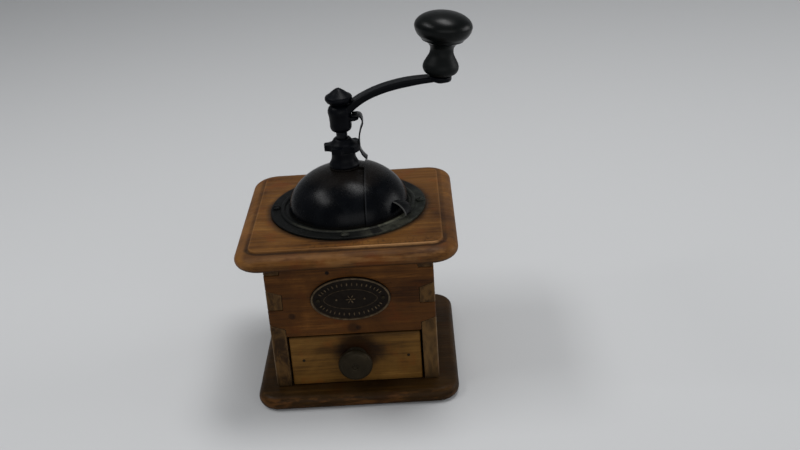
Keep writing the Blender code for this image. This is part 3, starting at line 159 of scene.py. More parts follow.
def at(x, y, z):
    """A place in the frame (mm)."""
    return Matrix.Translation((x * MM, y * MM, z * MM))


def placed(piece, place):
    """Moves a finished piece to its place and leaves its object at the origin."""
    piece.matrix_world = place
    pick(piece)
    bpy.ops.object.transform_apply(location=True, rotation=True, scale=True)
    return piece


def copied(piece, name, place):
    """Another piece of the same shape, with its own mesh, put in its place."""
    twin = bpy.data.objects.new(name, piece.data.copy())
    bpy.context.scene.collection.objects.link(twin)
    return placed(twin, place)


def cleaned(node, name, width, segments=2):
    """A copy of a CAD node: merged into one skin, flats freed of their triangles, edges eased."""
    piece = copied(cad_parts[node], name, Matrix())
    edit(piece)
    bpy.ops.mesh.remove_doubles(threshold=CAD_MERGE)
    bpy.ops.mesh.dissolve_limited(angle_limit=radians(1.0))
    settled(piece, 40.0, CAD_MERGE)
    if width:
        eased(piece, width, segments)
    return piece


def dressed(piece, finish, body, slot, *nodes):
    piece.data.materials.clear()
    piece.data.materials.append(finish)
    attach(piece, body)
    if nodes:
        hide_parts(*nodes)


# Outlines

def arc(centre, height, across, up, start, end, steps):
    """Points of an ellipse's arc as (radius, height)."""
    turn = radians(end - start) / steps
    return [(centre + across * cos(radians(start) + turn * i), height + up * sin(radians(start) + turn * i))
            for i in range(steps + 1)]


def curve(points, steps=6):
    """A smooth line through all the points."""
    line = []
    last = len(points) - 1
    for i in range(last):
        a, b, c, d = (Vector(points[min(max(k, 0), last)]) for k in (i - 1, i, i + 1, i + 2))
        for step in range(steps):
            t = step / steps
            line.append(tuple(0.5 * (2 * b + (c - a) * t + (2 * a - 5 * b + 4 * c - d) * t ** 2
                                     + (3 * b - a - 3 * c + d) * t ** 3)))
    return line + [tuple(points[-1])]


def turned(name, stations, facets=96, angle=35.0):
    """Turns a piece round Z: a ring is extruded and widened from station to station (mm)."""
    radius, height = max(stations[0][0], POLE), stations[0][1]
    piece = started(name, bpy.ops.mesh.primitive_circle_add, vertices=facets, radius=radius * MM,
                    location=(0, 0, height * MM))
    for wide, high in stations[1:]:
        wide = max(wide, POLE)
        drawn_out(z=high - height)
        stretched((wide / radius, wide / radius, 1), (0, 0, high * MM))
        radius, height = wide, high
    return settled(piece, angle)


def plug(name, radius, low, high, facets):
    """A plain round piece that another one is cut or trimmed with (mm)."""
    return turned(name, [(0, low), (radius, low), (radius, high), (0, high)], facets)


def moulded_board(name, half, corner, middle, above, below):
    """A square board: a thin slab at its widest height, inset step by step up and down (mm)."""
    band = 0.1
    piece = started(name, bpy.ops.mesh.primitive_plane_add, size=2 * half * MM,
                    location=(0, 0, (middle - band / 2) * MM))
    bpy.ops.mesh.bevel(offset=corner * MM, segments=12, affect="VERTICES", profile=0.5)
    bpy.ops.mesh.select_all(action="SELECT")
    drawn_out(z=band)
    bpy.ops.mesh.select_all(action="SELECT")
    bpy.ops.mesh.normals_make_consistent(inside=False)
    for side, line in ((1, above), (-1, below)):
        choose(piece, "FACE", lambda place, normal: normal.z * side > 0.9)
        for (inset, height), (next_inset, next_height) in zip(line, line[1:]):
            bpy.ops.mesh.inset(thickness=(next_inset - inset) * MM, depth=side * (next_height - height) * MM)
    return settled(piece, 30.0)


# Materials

class Tone:
    """A node's output that can be used in sums; a sum on values adds its Math node."""

    def __init__(self, finish, socket):
        self.finish = finish
        self.socket = socket

    def sum(self, operation, first, second):
        return self.finish.node("ShaderNodeMath", {"operation": operation}, {0: first, 1: second})

    def __add__(self, other):
        return self.sum("ADD", self, other)

    def __sub__(self, other):
        return self.sum("SUBTRACT", self, other)

    def __mul__(self, other):
        return self.sum("MULTIPLY", self, other)

    def __neg__(self):
        return self.sum("SUBTRACT", 0.0, self)

    def __rsub__(self, other):
        return self.sum("SUBTRACT", other, self)

    def __abs__(self):
        return self.sum("ABSOLUTE", self, 0.0)

    __radd__ = __add__
    __rmul__ = __mul__

    def more(self, other):
        return self.sum("MAXIMUM", self, other)

    def rise(self, low, high):
        """0 below low, 1 above high and smooth between; falls where high is the smaller."""
        return self.finish.node("ShaderNodeMapRange", {"interpolation_type": "SMOOTHSTEP"},
                                {"Value": self, "From Min": low, "From Max": high})

    def band(self, middle, half, soft):
        """1 within half of the middle, with soft sides."""
        return abs(self - middle).rise(half + soft, half)


class Finish:
    """One material and its nodes, on Object coordinates in metres."""

    def __init__(self, name, **constants):
        self.material = bpy.data.materials.new(name)
        self.material.use_nodes = True
        self.tree = self.material.node_tree
        self.shader = self.tree.nodes["Principled BSDF"]
        self.feed(**constants)
        self.place = self.node("ShaderNodeTexCoord", out="Object")
        self.x, self.y, self.z = (self.node("ShaderNodeSeparateXYZ", None, {0: self.place}, axis)
                                  for axis in "XYZ")

    def node(self, kind, settings=None, sockets=None, out=0):
        """Any node: its settings first, then the values or links of its sockets."""
        node = self.tree.nodes.new(kind)
        for key, value in (settings or {}).items():
            setattr(node, key, value)
        for key, value in (sockets or {}).items():
            self.link(value, node.inputs[key])
        return Tone(self, node.outputs[out])

    def link(self, value, socket):
        if isinstance(value, Tone):
            self.tree.links.new(value.socket, socket)
        else:
            socket.default_value = value

    def feed(self, **values):
        """Sets sockets of the shader; an underscore in a name stands for a space."""
        for key, value in values.items():
            self.link(value, self.shader.inputs[key.replace("_", " ")])

    def noise(self, scale, detail, rough, move=AXIS, twist=0.0, turn=AXIS):
        """Noise from 0 to 1; scale is in waves per metre, one number or one for each axis."""
        scale = scale if isinstance(scale, tuple) else (scale,) * 3
        mapped = self.node("ShaderNodeMapping", None,
                           {"Vector": self.place, "Scale": scale, "Location": move, "Rotation": turn})
        return self.node("ShaderNodeTexNoise", {"normalize": True},
                         {"Vector": mapped, "Scale": 1.0, "Detail": detail, "Roughness": rough,
                          "Distortion": twist})

    def away(self, across, up):
        """The distance from a place, from its two sides."""
        sides = self.node("ShaderNodeCombineXYZ", None, {0: across, 1: up})
        return self.node("ShaderNodeVectorMath", {"operation": "LENGTH"}, {0: sides}, "Value")

    def way(self):
        """The angle round the mill's axis, 0 on the right and falling towards the front."""
        return self.y.sum("ARCTAN2", self.y, self.x)

    def mix(self, share, first, second):
        """Mixes two colours by a share."""
        return self.node("ShaderNodeMix", {"data_type": "RGBA"}, {0: share, 6: first, 7: second}, 2)

    def stain(self, share, colour=(14, 11, 8)):
        """Lays a colour over a share of the surface: stains, wear, painted light and shade; a dark brown
        where none is given.
        """
        self.colour = self.mix(share, self.colour, tint(*colour))

    def bump(self, height, distance):
        """Feeds the shader's normal from a height of 0 to 1, with a distance in millimetres."""
        self.feed(Normal=self.node("ShaderNodeBump", None, {"Height": height, "Distance": distance * MM}))


def tint(red, green, blue):
    """A colour in linear light from its values of 0 to 255 on a screen."""
    def linear(value):
        value = value / 255
        return value / 12.92 if value <= 0.04045 else ((value + 0.055) / 1.055) ** 2.4
    return linear(red), linear(green), linear(blue), 1.0


def coated(finish, distance=0.05):
    """Feeds a finish's gathered colour, roughness and height to its shader."""
    finish.feed(Base_Color=finish.colour, Roughness=finish.rough)
    finish.bump(finish.height, distance)
    return finish.material


def wood(name, along, tones, grain, seed, roughness=(0.42, 0.62)):
    """Old wood: growth bands, fibres and pores drawn out along one axis."""
    finish = Finish(name, Specular_IOR_Level=0.09)

    def drawn(long, across):
        return tuple(long if axis == along else across for axis in "XYZ")

    dark, middle, light = (tint(*tone) for tone in tones)
    move = (seed, seed * 1.7, seed * 2.3)
    bands = finish.noise(drawn(4.0, 95.0), 4.0, 0.55, move, 1.2)
    figure = finish.noise(drawn(14.0, 380.0), 4.0, 0.62, move, 1.1)
    fibres = finish.noise(drawn(60.0, 1500.0), 3.0, 0.6, move)
    pores = finish.noise(drawn(130.0, 2600.0), 2.0, 0.5, move).rise(0.60, 0.72)
    blotch = finish.noise(26.0, 4.0, 0.6, move, 0.8)
    tone = bands * 0.34 + figure * 0.30 + fibres * 0.20 + blotch * 0.42 - 0.13
    tone = 0.5 + (tone - 0.5) * (3.0 * grain)
    colour = finish.mix(tone.rise(0.05, 0.55), dark, middle)
    colour = finish.mix(tone.rise(0.50, 1.0), colour, light)
    colour = finish.mix(pores * 0.5, colour, dark)
    # Old oil has drawn warm and dark clouds into the wood
    warm = finish.noise(48.0, 5.0, 0.62, (seed * 2.9, seed, 0.4))
    ruddy = (middle[0] * 1.15, middle[1] * 0.72, middle[2] * 0.5, 1)
    colour = finish.mix(warm.rise(0.52, 0.68) * 0.5, colour, ruddy)
    cloud = finish.noise(31.0, 5.0, 0.66, (0.7, seed * 1.9, seed))
    colour = finish.mix(cloud.rise(0.54, 0.74) * 0.55, colour, dark)
    low, high = roughness
    finish.colour = colour
    finish.rough = low + (high - low) * fibres.rise(0.3, 0.7)
    finish.height = figure * 0.5 + fibres * 0.4 - pores * 0.5
    return finish


def black_metal(name, base, worn, roughness, wear, seed, metallic=0.0, speck=0.5):
    """Old black paint on iron, with soft mottling, specks and rubbed places."""
    finish = Finish(name, Metallic=metallic, Specular_IOR_Level=0.075)
    base, worn = tint(*base), tint(*worn)
    paler = tuple(value * 1.9 for value in base[:3]) + (1,)
    move = (seed, seed * 1.3, seed * 0.7)
    mottle = finish.noise(70.0, 5.0, 0.62, move)
    fine = finish.noise(650.0, 3.0, 0.6, move)
    dots = finish.noise(1700.0, 2.0, 0.5, move).rise(0.66, 0.74)
    rubbed = (mottle * 0.7 + fine * 0.3).rise(wear, wear + 0.16)
    colour = finish.mix(mottle.rise(0.3, 0.7) * 0.6, base, paler)
    colour = finish.mix(rubbed * 0.7, colour, worn)
    finish.colour = finish.mix(dots * speck * 0.4, colour, worn)
    finish.rough = roughness + (fine - 0.5) * 0.25 + (mottle - 0.5) * 0.2
    finish.height = fine * 0.6 + mottle * 0.4 + dots * 0.3
    return finish


def bare_metal(name, base, dull, roughness, seed):
    """Bare iron or steel with dull stains."""
    finish = Finish(name)
    stains = finish.noise(180.0, 5.0, 0.65, (seed, 0.0, seed))
    fine = finish.noise(1400.0, 2.0, 0.5, (seed, 0.0, seed))
    finish.colour = finish.mix(stains.rise(0.42, 0.62), tint(*base), tint(*dull))
    finish.rough = roughness + (stains - 0.5) * 0.5 + (fine - 0.5) * 0.2
    finish.height = stains * 0.5 + fine * 0.5
    finish.feed(Metallic=1.0 - stains.rise(0.5, 0.7) * 0.5)
    return coated(finish, 0.04)


# Sizes shared by the pieces, in mm

BOARD_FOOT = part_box("top_board")[0].z / MM
BOARD_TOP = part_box("top_board")[1].z / MM
FLANGE_FOOT = BOARD_TOP + 0.3
FLANGE_TOP = FLANGE_FOOT + 1.5
FLANGE_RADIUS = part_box("hopper_bowl")[1].x / MM
BOWL_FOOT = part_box("hopper_bowl")[0].z / MM
DOME_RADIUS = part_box("dome_cover")[1].y / MM
DOME_HEIGHT = 29.0
DOME_CENTRE = FLANGE_TOP - 1.1
SHELL_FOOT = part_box("dome_cover")[0].z / MM
LAND_RADIUS = 10.3
LAND_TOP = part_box("dome_cover")[1].z / MM
DOOR_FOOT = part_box("hopper_door")[0].z / MM
DOOR_EDGE = 13.0
PILLAR_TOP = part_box("bearing_pillar")[1].z / MM
PILLAR_FOOT = LAND_TOP + 1.6
NUT_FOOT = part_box("adjusting_nut")[0].z / MM
NUT_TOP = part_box("adjusting_nut")[1].z / MM
CAP_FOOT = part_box("cap_nut")[0].z / MM
CAP_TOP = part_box("cap_nut")[1].z / MM
HUB_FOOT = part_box("crank_arm")[0].z / MM
HUB_TOP = CAP_FOOT - 0.3
CASE_FRONT = -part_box("front_panel")[0].y / MM
DRAWER_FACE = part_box("drawer_front")[0].y / MM
DRAWER_MIDDLE = (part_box("drawer_front")[0].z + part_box("drawer_front")[1].z) / 2 / MM
BADGE_MIDDLE = (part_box("badge_plate")[0].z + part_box("badge_plate")[1].z) / 2 / MM
EYE = (65.0, 199.99)     # the knob pin's place along X and in height
LEAN = 6.5               # the knob leans outwards by this many degrees


# Wood finishes

def top_wood():
    top = wood("oiled_top_wood", "X", ((52, 29, 9), (88, 56, 22), (114, 78, 36)), 1.0, 3.1)
    # How far out a point lies, measured round the raised panel's rounded corners
    inner = 0.053
    reach = top.away((abs(top.x) - inner).more(0.0), (abs(top.y) - inner).more(0.0)) + inner
    rough = top.noise(120.0, 4.0, 0.6)
    patch = top.noise(34.0, 3.0, 0.6, (0.4, 0.1, 0.0))
    # The moulding round the raised panel is darker, with dirt and painted shade in the step
    step = BOARD_TOP * MM - 0.0011
    low = top.z.rise(step + 0.0004, step - 0.0004)
    upper = low * top.z.rise(step - 0.0035, step - 0.0008) * patch.rise(0.36, 0.56)
    top.stain(upper * 0.45, (56, 36, 25))
    # Painted shade and dirt: a dark band along the step round the raised panel
    seam = (reach + (rough - 0.5) * 0.0014).band(0.0616, 0.0009, 0.0016) * low
    seam = seam * (0.4 + 0.6 * (-top.y).rise(0.040, 0.056))
    top.stain(seam * (0.55 + 0.45 * patch.rise(0.25, 0.45)))
    worn = abs(top.x).rise(0.0615, 0.0650) * top.z.rise(0.104, 0.108)
    worn = worn * (0.5 + 0.5 * patch.rise(0.4, 0.6))
    top.stain(worn * (0.06 + 0.2 * top.x.rise(0.0, -0.06)), (150, 102, 50))
    # Painted shade: the board's lower moulding is darkened towards its underside
    under = top.z.rise((BOARD_FOOT + 4.2) * MM, (BOARD_FOOT + 1.2) * MM)
    top.stain(under * 0.7, (20, 12, 6))
    hatch = top.noise((50.0, 1100.0, 50.0), 2.0, 0.5, (0.3, 0.0, 0.0), 0.0, (0.0, 0.0, radians(-34)))
    top.stain(hatch.rise(0.55, 0.75) * patch.rise(0.4, 0.6) * (1 - low) * 0.35, (60, 38, 18))
    # Rubbed edges: the raised panel's lip, and the front of the moulding, which also has a painted highlight
    lip = (reach + (rough - 0.5) * 0.0010).band(0.0604, 0.0003, 0.0006) * (1 - low)
    front = (-top.y).rise(0.0585, 0.0600)
    bright = front * top.x.rise(-0.012, 0.010)
    top.stain(lip * (0.12 + 0.75 * bright), (146, 108, 68))
    scuff = top.noise((520.0, 180.0, 60.0), 4.0, 0.62, (0.6, 0.2, 0.0)).rise(0.52, 0.64)
    scuff = scuff * (-top.y).rise(0.0500, 0.0560) * top.x.rise(-0.035, -0.015) * (1 - low)
    top.stain(scuff * (1 - lip) * 0.55, (34, 20, 9))
    # The moulding's front: rubbed, and painted lighter along its upper round as a highlight
    nose = (-top.y).rise(0.063, 0.0675) * top.z.rise(0.105, 0.1085)
    rubbing = top.noise((28.0, 90.0, 220.0), 5.0, 0.62, (0.2, 0.5, 0.1))
    nose = nose * (rubbing * 0.8 + rough * 0.2).rise(0.44, 0.62)
    top.stain(nose * 0.5, (124, 88, 52))
    # Soot and oil round the hopper flange, with painted shade along its edge
    ring = top.away(top.x, top.y)
    oil_and_flange_shade = (ring + (rough - 0.5) * 0.004).rise(0.0565, 0.0515)
    top.stain(oil_and_flange_shade * 0.75 * (1 - low), (22, 17, 12))
    return coated(top)


def case_wood(name, along, seed, tones, ends=None):
    """Case wood; ends names the axis on which the wall shows its end grain."""
    case = wood(name, along, tones, 1.0, seed)
    rough = case.noise(140.0, 4.0, 0.6)
    if ends:
        normal = case.node("ShaderNodeTexCoord", out="Normal")
        facing = abs(case.node("ShaderNodeSeparateXYZ", None, {0: normal}, ends)).rise(0.6, 0.9)
        rings = case.noise((150.0, 150.0, 75.0), 5.0, 0.62, (seed, 0.2, 0.1), 0.9)
        end = case.mix(rings.rise(0.34, 0.64), tint(40, 26, 12), tint(84, 60, 31))
        # Painted light: the end grain is lighter towards the right and the foot
        end = case.mix(case.x.rise(-0.030, 0.050) * case.z.rise(0.060, 0.035) * 0.3, end, tint(104, 80, 48))
        # Painted shade: the end grain is darker under the top board
        end = case.mix(case.z.rise(0.092, 0.097) * 0.8, end, tint(44, 27, 11))
        case.colour = case.mix(facing, case.colour, end)
    # The walls are darker towards the foot, and painted shade lies under the top board
    foot = (case.z + (rough - 0.5) * 0.010).rise(0.020, 0.010)
    case.stain(foot * 0.6)
    head = (case.z + (rough - 0.5) * 0.006).rise(0.0955, 0.1025)
    case.stain(head * 0.5, (12, 9, 6))
    return case


def marked(case):
    """Marks on the front panel: an old nail hole, a small knot and a stain over the drawer."""
    for across, up, size, soft, share in ((-13.4, 93.0, 1.0, 0.6, 0.95), (-38.7, 63.0, 1.4, 1.6, 0.6),
                                          (-0.3, 52.3, 2.2, 2.6, 0.5), (3.4, 52.0, 1.0, 1.4, 0.6)):
        reach = case.away(case.x - across * MM, case.z - up * MM)
        spot = reach.rise((size + soft) * MM, size * MM) * (-case.y).rise(0.0, 0.04)
        case.stain(spot * share, (10, 5, 3))
    return case


def drawer_wood():
    drawer = wood("drawer_wood", "X", ((60, 39, 13), (95, 66, 27), (122, 87, 41)), 0.95, 7.7)
    rough = drawer.noise(90.0, 4.0, 0.6)
    # Years of fingers have darkened the wood round the knob
    reach = drawer.away(drawer.x * 0.8 - 0.0018, drawer.z - (DRAWER_MIDDLE + 6) * MM)
    stain = (reach + (rough - 0.5) * 0.010).rise(0.0175, 0.0085)
    drawer.stain(stain * 0.85, (20, 10, 6))
    edge = abs(drawer.z - DRAWER_MIDDLE * MM).rise(0.0166, 0.0181)
    drawer.stain(edge * 0.55, (22, 15, 8))
    return coated(drawer)


def base_wood():
    base = wood("base_wood", "X", ((19, 10, 1), (43, 27, 7), (68, 46, 18)), 0.9, 5.3, (0.35, 0.6))
    rough = base.noise((60.0, 60.0, 240.0), 5.0, 0.65, (0.2, 0.3, 0.0))
    front = (-base.y).rise(0.050, 0.064)
    rubbed = rough.rise(0.46, 0.66) * front * base.z.band(0.0055, 0.0025, 0.002)
    base.stain(rubbed * 0.8, (86, 54, 24))
    rim = base.z.rise(0.0085, 0.0100) * rough.rise(0.40, 0.60)
    base.stain(rim * 0.25, (56, 42, 27))
    base.feed(Specular_IOR_Level=0.075)
    return coated(base)


def inside_wood(name, along, seed):
    inner = wood(name, along, ((92, 66, 38), (132, 98, 62), (162, 126, 86)), 0.9, seed, (0.6, 0.8))
    stain = inner.noise(45.0, 4.0, 0.6).rise(0.48, 0.70)
    inner.stain(stain * 0.55, (46, 30, 18))
    return coated(inner)


# Metal finishes

def dome_paint(name, seed):
    paint = black_metal(name, (1, 2, 4), (46, 44, 40), 0.265, 0.69, seed)
    streak = paint.noise((60.0, 60.0, 14.0), 4.0, 0.6, (seed, 0.0, 0.0))
    paint.stain(streak.rise(0.5, 0.75) * 0.2, (27, 29, 32))
    top = (paint.z + (streak - 0.5) * 0.010).rise(0.1360, 0.1420)
    paint.stain(top * 0.35, (36, 31, 26))
    foot = (paint.z + (streak - 0.5) * 0.006).rise(0.1195, 0.1165)
    paint.stain(foot * 0.3, (40, 36, 30))
    return paint


def door_edge_shade_and_highlight(paint, across, colour, share):
    """A narrow upright line by the door's edge: painted shade on the cover, worn paint with a painted
    highlight on the door.
    """
    line = paint.x.band(across * MM, 0.00025, 0.0004) * (-paint.y).rise(0.0, 0.01)
    line = line * paint.z.rise(0.118, 0.128)
    paint.stain(line * share, colour)
    return coated(paint, 0.05)


def iron_paint(name, seed, roughness=0.4):
    return coated(black_metal(name, (1, 2, 5), (28, 30, 34), roughness, 0.69, seed, speck=0.3), 0.09)


def catch_paint():
    """Black paint that is worn off along the mouth's edge, which also has a painted highlight."""
    paint = black_metal("catch_paint", (3, 4, 5), (34, 35, 36), 0.5, 0.68, 7.9, speck=0.3)
    way = paint.way()
    # Worn paint and a painted highlight along the mouth's edge
    paint.stain(way.rise(radians(-35.9), radians(-37.0)) * 0.8, (84, 84, 82))
    return coated(paint, 0.07)


def flange_iron():
    iron = black_metal("flange_iron", (4, 5, 5), (46, 46, 40), 0.5, 0.64, 2.2, 0.1)
    rough = iron.noise(210.0, 4.0, 0.6, (0.3, 0.0, 0.0))
    bead = iron.z.rise(0.1172, 0.1177)
    # Hands opening the door have rubbed the ring bright at the front right
    way = iron.way()
    rubbed = way.band(radians(-52), radians(14), radians(16)) * (0.35 + 0.65 * rough.rise(0.35, 0.6))
    patchy = 0.4 + 0.6 * rough.rise(0.4, 0.6)
    front = way.band(radians(-92), radians(34), radians(26)) * patchy
    iron.stain(front * 0.1, (48, 48, 42))
    # Painted reflection: the ring's right side is painted lighter, as light from the right would show on it
    right = way.band(radians(-6), radians(24), radians(14)) * patchy
    iron.stain(right * 0.5, (54, 57, 50))
    iron.stain(rubbed * 0.5, (70, 70, 60))
    iron.stain(bead * (rubbed * 0.5).more(front * 0.2), (92, 92, 78))
    gap = way.band(radians(-66), radians(3), radians(2)) * iron.z.rise(0.1163, 0.1166)
    iron.stain(gap * 0.85, (8, 8, 9))
    return coated(iron, 0.08)


def lacquer():
    black = Finish("knob_lacquer", Specular_IOR_Level=0.12)
    soft = black.noise(90.0, 4.0, 0.6)
    fine = black.noise(900.0, 3.0, 0.6)
    chips = (soft * 0.5 + fine * 0.5).rise(0.60, 0.66)
    black.colour = black.mix(soft.rise(0.35, 0.7) * 0.5, tint(2, 4, 4), tint(9, 12, 11))
    black.stain(chips * 0.3, (46, 38, 26))
    # The lower bulb is worn dull, and painted darker as shade under the cap
    dull_shaded_bulb = black.z.rise(0.2205, 0.2165)
    black.stain(dull_shaded_bulb * 0.6, (0, 3, 3))
    black.rough = 0.29 + (soft - 0.5) * 0.2 + fine * 0.06 + dull_shaded_bulb * 0.16
    black.height = soft * 0.6 + fine * 0.4
    return coated(black, 0.05)


def bronze():
    plate = black_metal("badge_bronze", (14, 10, 8), (48, 38, 30), 0.42, 0.62, 4.4, 0.3)
    out = -plate.y
    raised = out.rise((CASE_FRONT + 1.5) * MM, (CASE_FRONT + 1.75) * MM) * 0.45
    raised = raised.more(out.rise((CASE_FRONT + 1.95) * MM, (CASE_FRONT + 2.15) * MM))
    rough = plate.noise(260.0, 4.0, 0.6)
    plate.stain(raised * (0.5 + 0.5 * rough.rise(0.4, 0.6)), (90, 76, 58))
    return coated(plate, 0.06)


WOOD_TOP = top_wood()
FRONT_TONES = ((43, 22, 5), (72, 42, 13), (100, 62, 24))
SIDE_TONES = ((58, 42, 26), (94, 74, 50), (120, 98, 72))
WOOD_FRONT = coated(marked(case_wood("front_wood", "X", 1.3, FRONT_TONES)))
WOOD_SIDE = coated(case_wood("side_wood", "Y", 2.9, SIDE_TONES, "Y"))
WOOD_DRAWER = drawer_wood()
WOOD_BASE = base_wood()
WOOD_INSIDE = inside_wood("bare_wood_long", "Y", 8.4)
WOOD_CROSS = inside_wood("bare_wood_cross", "X", 9.6)
# The cover gets painted shade by the door's edge; the door's edge gets worn paint with a painted highlight
DOME_PAINT = door_edge_shade_and_highlight(dome_paint("dome_paint", 1.1), DOOR_EDGE - 0.3, (1, 1, 1), 0.9)
DOOR_PAINT = door_edge_shade_and_highlight(dome_paint("door_paint", 2.6), DOOR_EDGE + 0.5, (52, 53, 55), 0.28)
CRANK_PAINT = iron_paint("crank_paint", 3.3)
NUT_PAINT = iron_paint("nut_paint", 4.2, 0.45)
PILLAR_PAINT = iron_paint("pillar_paint", 5.7, 0.42)
FLANGE_IRON = flange_iron()
LACQUER = lacquer()
BRONZE = bronze()
PATINA = coated(black_metal("drawer_knob_patina", (32, 27, 18), (74, 62, 44), 0.42, 0.58, 6.1, 0.4), 0.07)
CATCH_PAINT = catch_paint()
BRIDGE_IRON = iron_paint("bridge_paint", 6.8, 0.5)
STEEL = bare_metal("dull_steel", (120, 118, 114), (70, 62, 52), 0.38, 1.9)
LATCH_STEEL = bare_metal("latch_steel", (26, 28, 31), (12, 13, 16), 0.36, 2.7)
BURR_IRON = bare_metal("burr_iron", (92, 90, 86), (54, 46, 38), 0.45, 3.8)


# Boards and case

def build_base():
    above = arc(4.5, 5.0, -4.5, 5.0, 0, 78, 12) + [(4.5, 10.0)]
    below = arc(4.5, 5.0, -4.5, -5.0, 0, 78, 12) + [(4.5, 0.0)]
    board = moulded_board("standing_board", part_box("base_board")[1].x / MM, 14.5, 5.0, above, below)
    dressed(board, WOOD_BASE, "case", "wood_base", "base_board")


def build_top():
    """A thumbnail edge, a small step up to the raised panel, and the hole for the bowl."""
    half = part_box("top_board")[1].x / MM
    belly = 4.64
    widest = BOARD_FOOT + belly
    thumb = 8.5
    above = arc(thumb, widest, -thumb, 10.3 - belly, 0, 80, 16)
    above += [(thumb, above[-1][1] + 0.05), (9.0, above[-1][1] + 0.12), (9.15, above[-1][1] + 0.5),
              (9.3, BOARD_TOP - 0.25), (9.6, BOARD_TOP - 0.06), (10.0, BOARD_TOP)]
    below = arc(4.8, widest, -4.8, -belly, 0, 75, 10) + [(4.8, BOARD_FOOT)]
    board = moulded_board("moulded_top", half, 17.0, widest, above, below)
    carved(board, plug("bowl_hole", 40.6, BOARD_FOOT - 2, BOARD_TOP + 2, 128))
    dressed(settled(board, 30.0), WOOD_TOP, "case", "wood_top", "top_board")


def build_case():
    for node, finish in (("left_wall", WOOD_SIDE), ("right_wall", WOOD_SIDE), ("front_panel", WOOD_FRONT),
                         ("back_panel", WOOD_FRONT)):
        dressed(cleaned(node, f"worn_{node}", 0.5), finish, "case", "wood_case", node)


def build_drawer():
    front = cleaned("drawer_front", "worn_drawer_front", 0.6, 3)
    dressed(front, WOOD_DRAWER, "drawer", "wood_drawer", "drawer_front")
    for node, finish in (("drawer_left_side", WOOD_INSIDE), ("drawer_right_side", WOOD_INSIDE),
                         ("drawer_back", WOOD_CROSS), ("drawer_bottom", WOOD_INSIDE)):
        dressed(cleaned(node, f"planed_{node}", 0.3), finish, "drawer", "wood_inside", node)
    line = curve([(0.0, 0.1), (7.0, 0.1), (6.6, 1.5), (4.9, 3.4), (6.4, 5.8), (9.6, 7.4), (11.0, 9.2),
                  (10.9, 11.0), (9.6, 12.5), (7.4, 13.3), (4.4, 13.6), (2.2, 13.3), (1.5, 12.6),
                  (0.0, 12.3)], 5)
    knob = turned("turned_drawer_knob", line[5:])
    placed(knob, at(0, DRAWER_FACE - 0.3, DRAWER_MIDDLE + 1.8) @ FACING)
    dressed(knob, PATINA, "drawer", "dark_iron", "drawer_knob")
    nail = turned("drawer_nail", [(0.0, -1.0), (0.75, -1.0), (1.0, 0.05), (0.9, 0.28), (0.5, 0.42),
                                  (0.0, 0.46)], 24)
    for side, across in (("left", -34.4), ("right", 34.4)):
        head = copied(nail, f"drawer_nail_{side}", at(across, DRAWER_FACE, DRAWER_MIDDLE + 0.6) @ FACING)
        dressed(head, PATINA, "drawer", "bare_steel")
    gone(nail)


# Hopper

def build_bowl():
    bead = arc(43.5, FLANGE_TOP, 1.6, 1.1, 0, 180, 14)
    stations = [(FLANGE_RADIUS - 0.1, FLANGE_FOOT), (FLANGE_RADIUS, FLANGE_FOOT + 0.1),
                *arc(FLANGE_RADIUS - 0.6, FLANGE_TOP - 0.6, 0.6, 0.6, 0, 90, 5), *bead,
                (38.4, FLANGE_TOP), (38.0, FLANGE_TOP - 0.1), (37.6, FLANGE_TOP - 0.6),
                (37.0, FLANGE_TOP - 4), (35.5, 106.1), (33.6, 103.6), (17.9, 87.4), (17.8, 87.1),
                (17.8, BOWL_FOOT + 0.2), (18.0, BOWL_FOOT), (28.3, BOWL_FOOT), (28.5, BOWL_FOOT + 0.2),
                (28.5, 87.1), (28.3, 87.3), (21.4, 87.3), (20.6, 87.6), (37.3, 104.2), (38.5, 106.2),
                (39.9, 111.1), (39.9, FLANGE_FOOT), (FLANGE_RADIUS - 0.1, FLANGE_FOOT)]
    bowl = turned("hopper_ring_and_bowl", stations, 128)
    dressed(bowl, FLANGE_IRON, "case", "dark_iron", "hopper_bowl")
    screw = turned("flange_screw", [(0.0, -3.0), (1.4, -3.0), (1.4, 0.3), (2.7, 0.3), (2.9, 0.4),
                                    *arc(0.0, 0.4, 2.9, 1.38, 12, 90, 8)], 48)
    settled(carved(screw, box_cutter("slot_cutter", (-4, -0.35, 0.9), (4, 0.35, 3))))
    circle = 47.8
    for number, (way, turn) in enumerate(((-90, 24), (0, 70), (90, -35), (180, 8))):
        spot = at(circle * cos(radians(way)), circle * sin(radians(way)), FLANGE_TOP)
        node = f"flange_screw_{number + 1}"
        head = copied(screw, f"slotted_{node}", spot @ Matrix.Rotation(radians(turn), 4, "Z"))
        dressed(head, FLANGE_IRON, "case", "dark_iron", node)
    gone(screw)


def shell_stations(outset, wall, foot):
    """Closed section of a domed shell with a flat land at its top."""
    skins = []
    for grow in (outset + wall, outset):
        wide, tall, land = DOME_RADIUS + grow, DOME_HEIGHT + grow, LAND_TOP + grow
        start = degrees(acos(LAND_RADIUS / wide))
        end = degrees(asin((foot - DOME_CENTRE) / tall))
        skins.append([(5.5, land), (LAND_RADIUS - 0.5, land),
                      *arc(0.0, DOME_CENTRE, wide, tall, start, end, 30)])
    return skins[0] + skins[1][::-1] + [skins[0][0]]


def box_cutter(name, low, high):
    middle = [(a + b) / 2 * MM for a, b in zip(low, high)]
    cutter = started(name, bpy.ops.mesh.primitive_cube_add, size=MM, location=middle)
    stretched([b - a for a, b in zip(low, high)], middle)
    rest()
    return cutter


def build_dome():
    dome = turned("domed_cover", shell_stations(-1.0, 1.0, SHELL_FOOT), 160)
    carved(dome, box_cutter("opening_cutter", (15.5, -FAR, SHELL_FOOT + 4), (FAR, FAR, LAND_TOP - 3)))
    dressed(settled(dome, merge=FINE_MERGE), DOME_PAINT, "case", "black_enamel", "dome_cover")


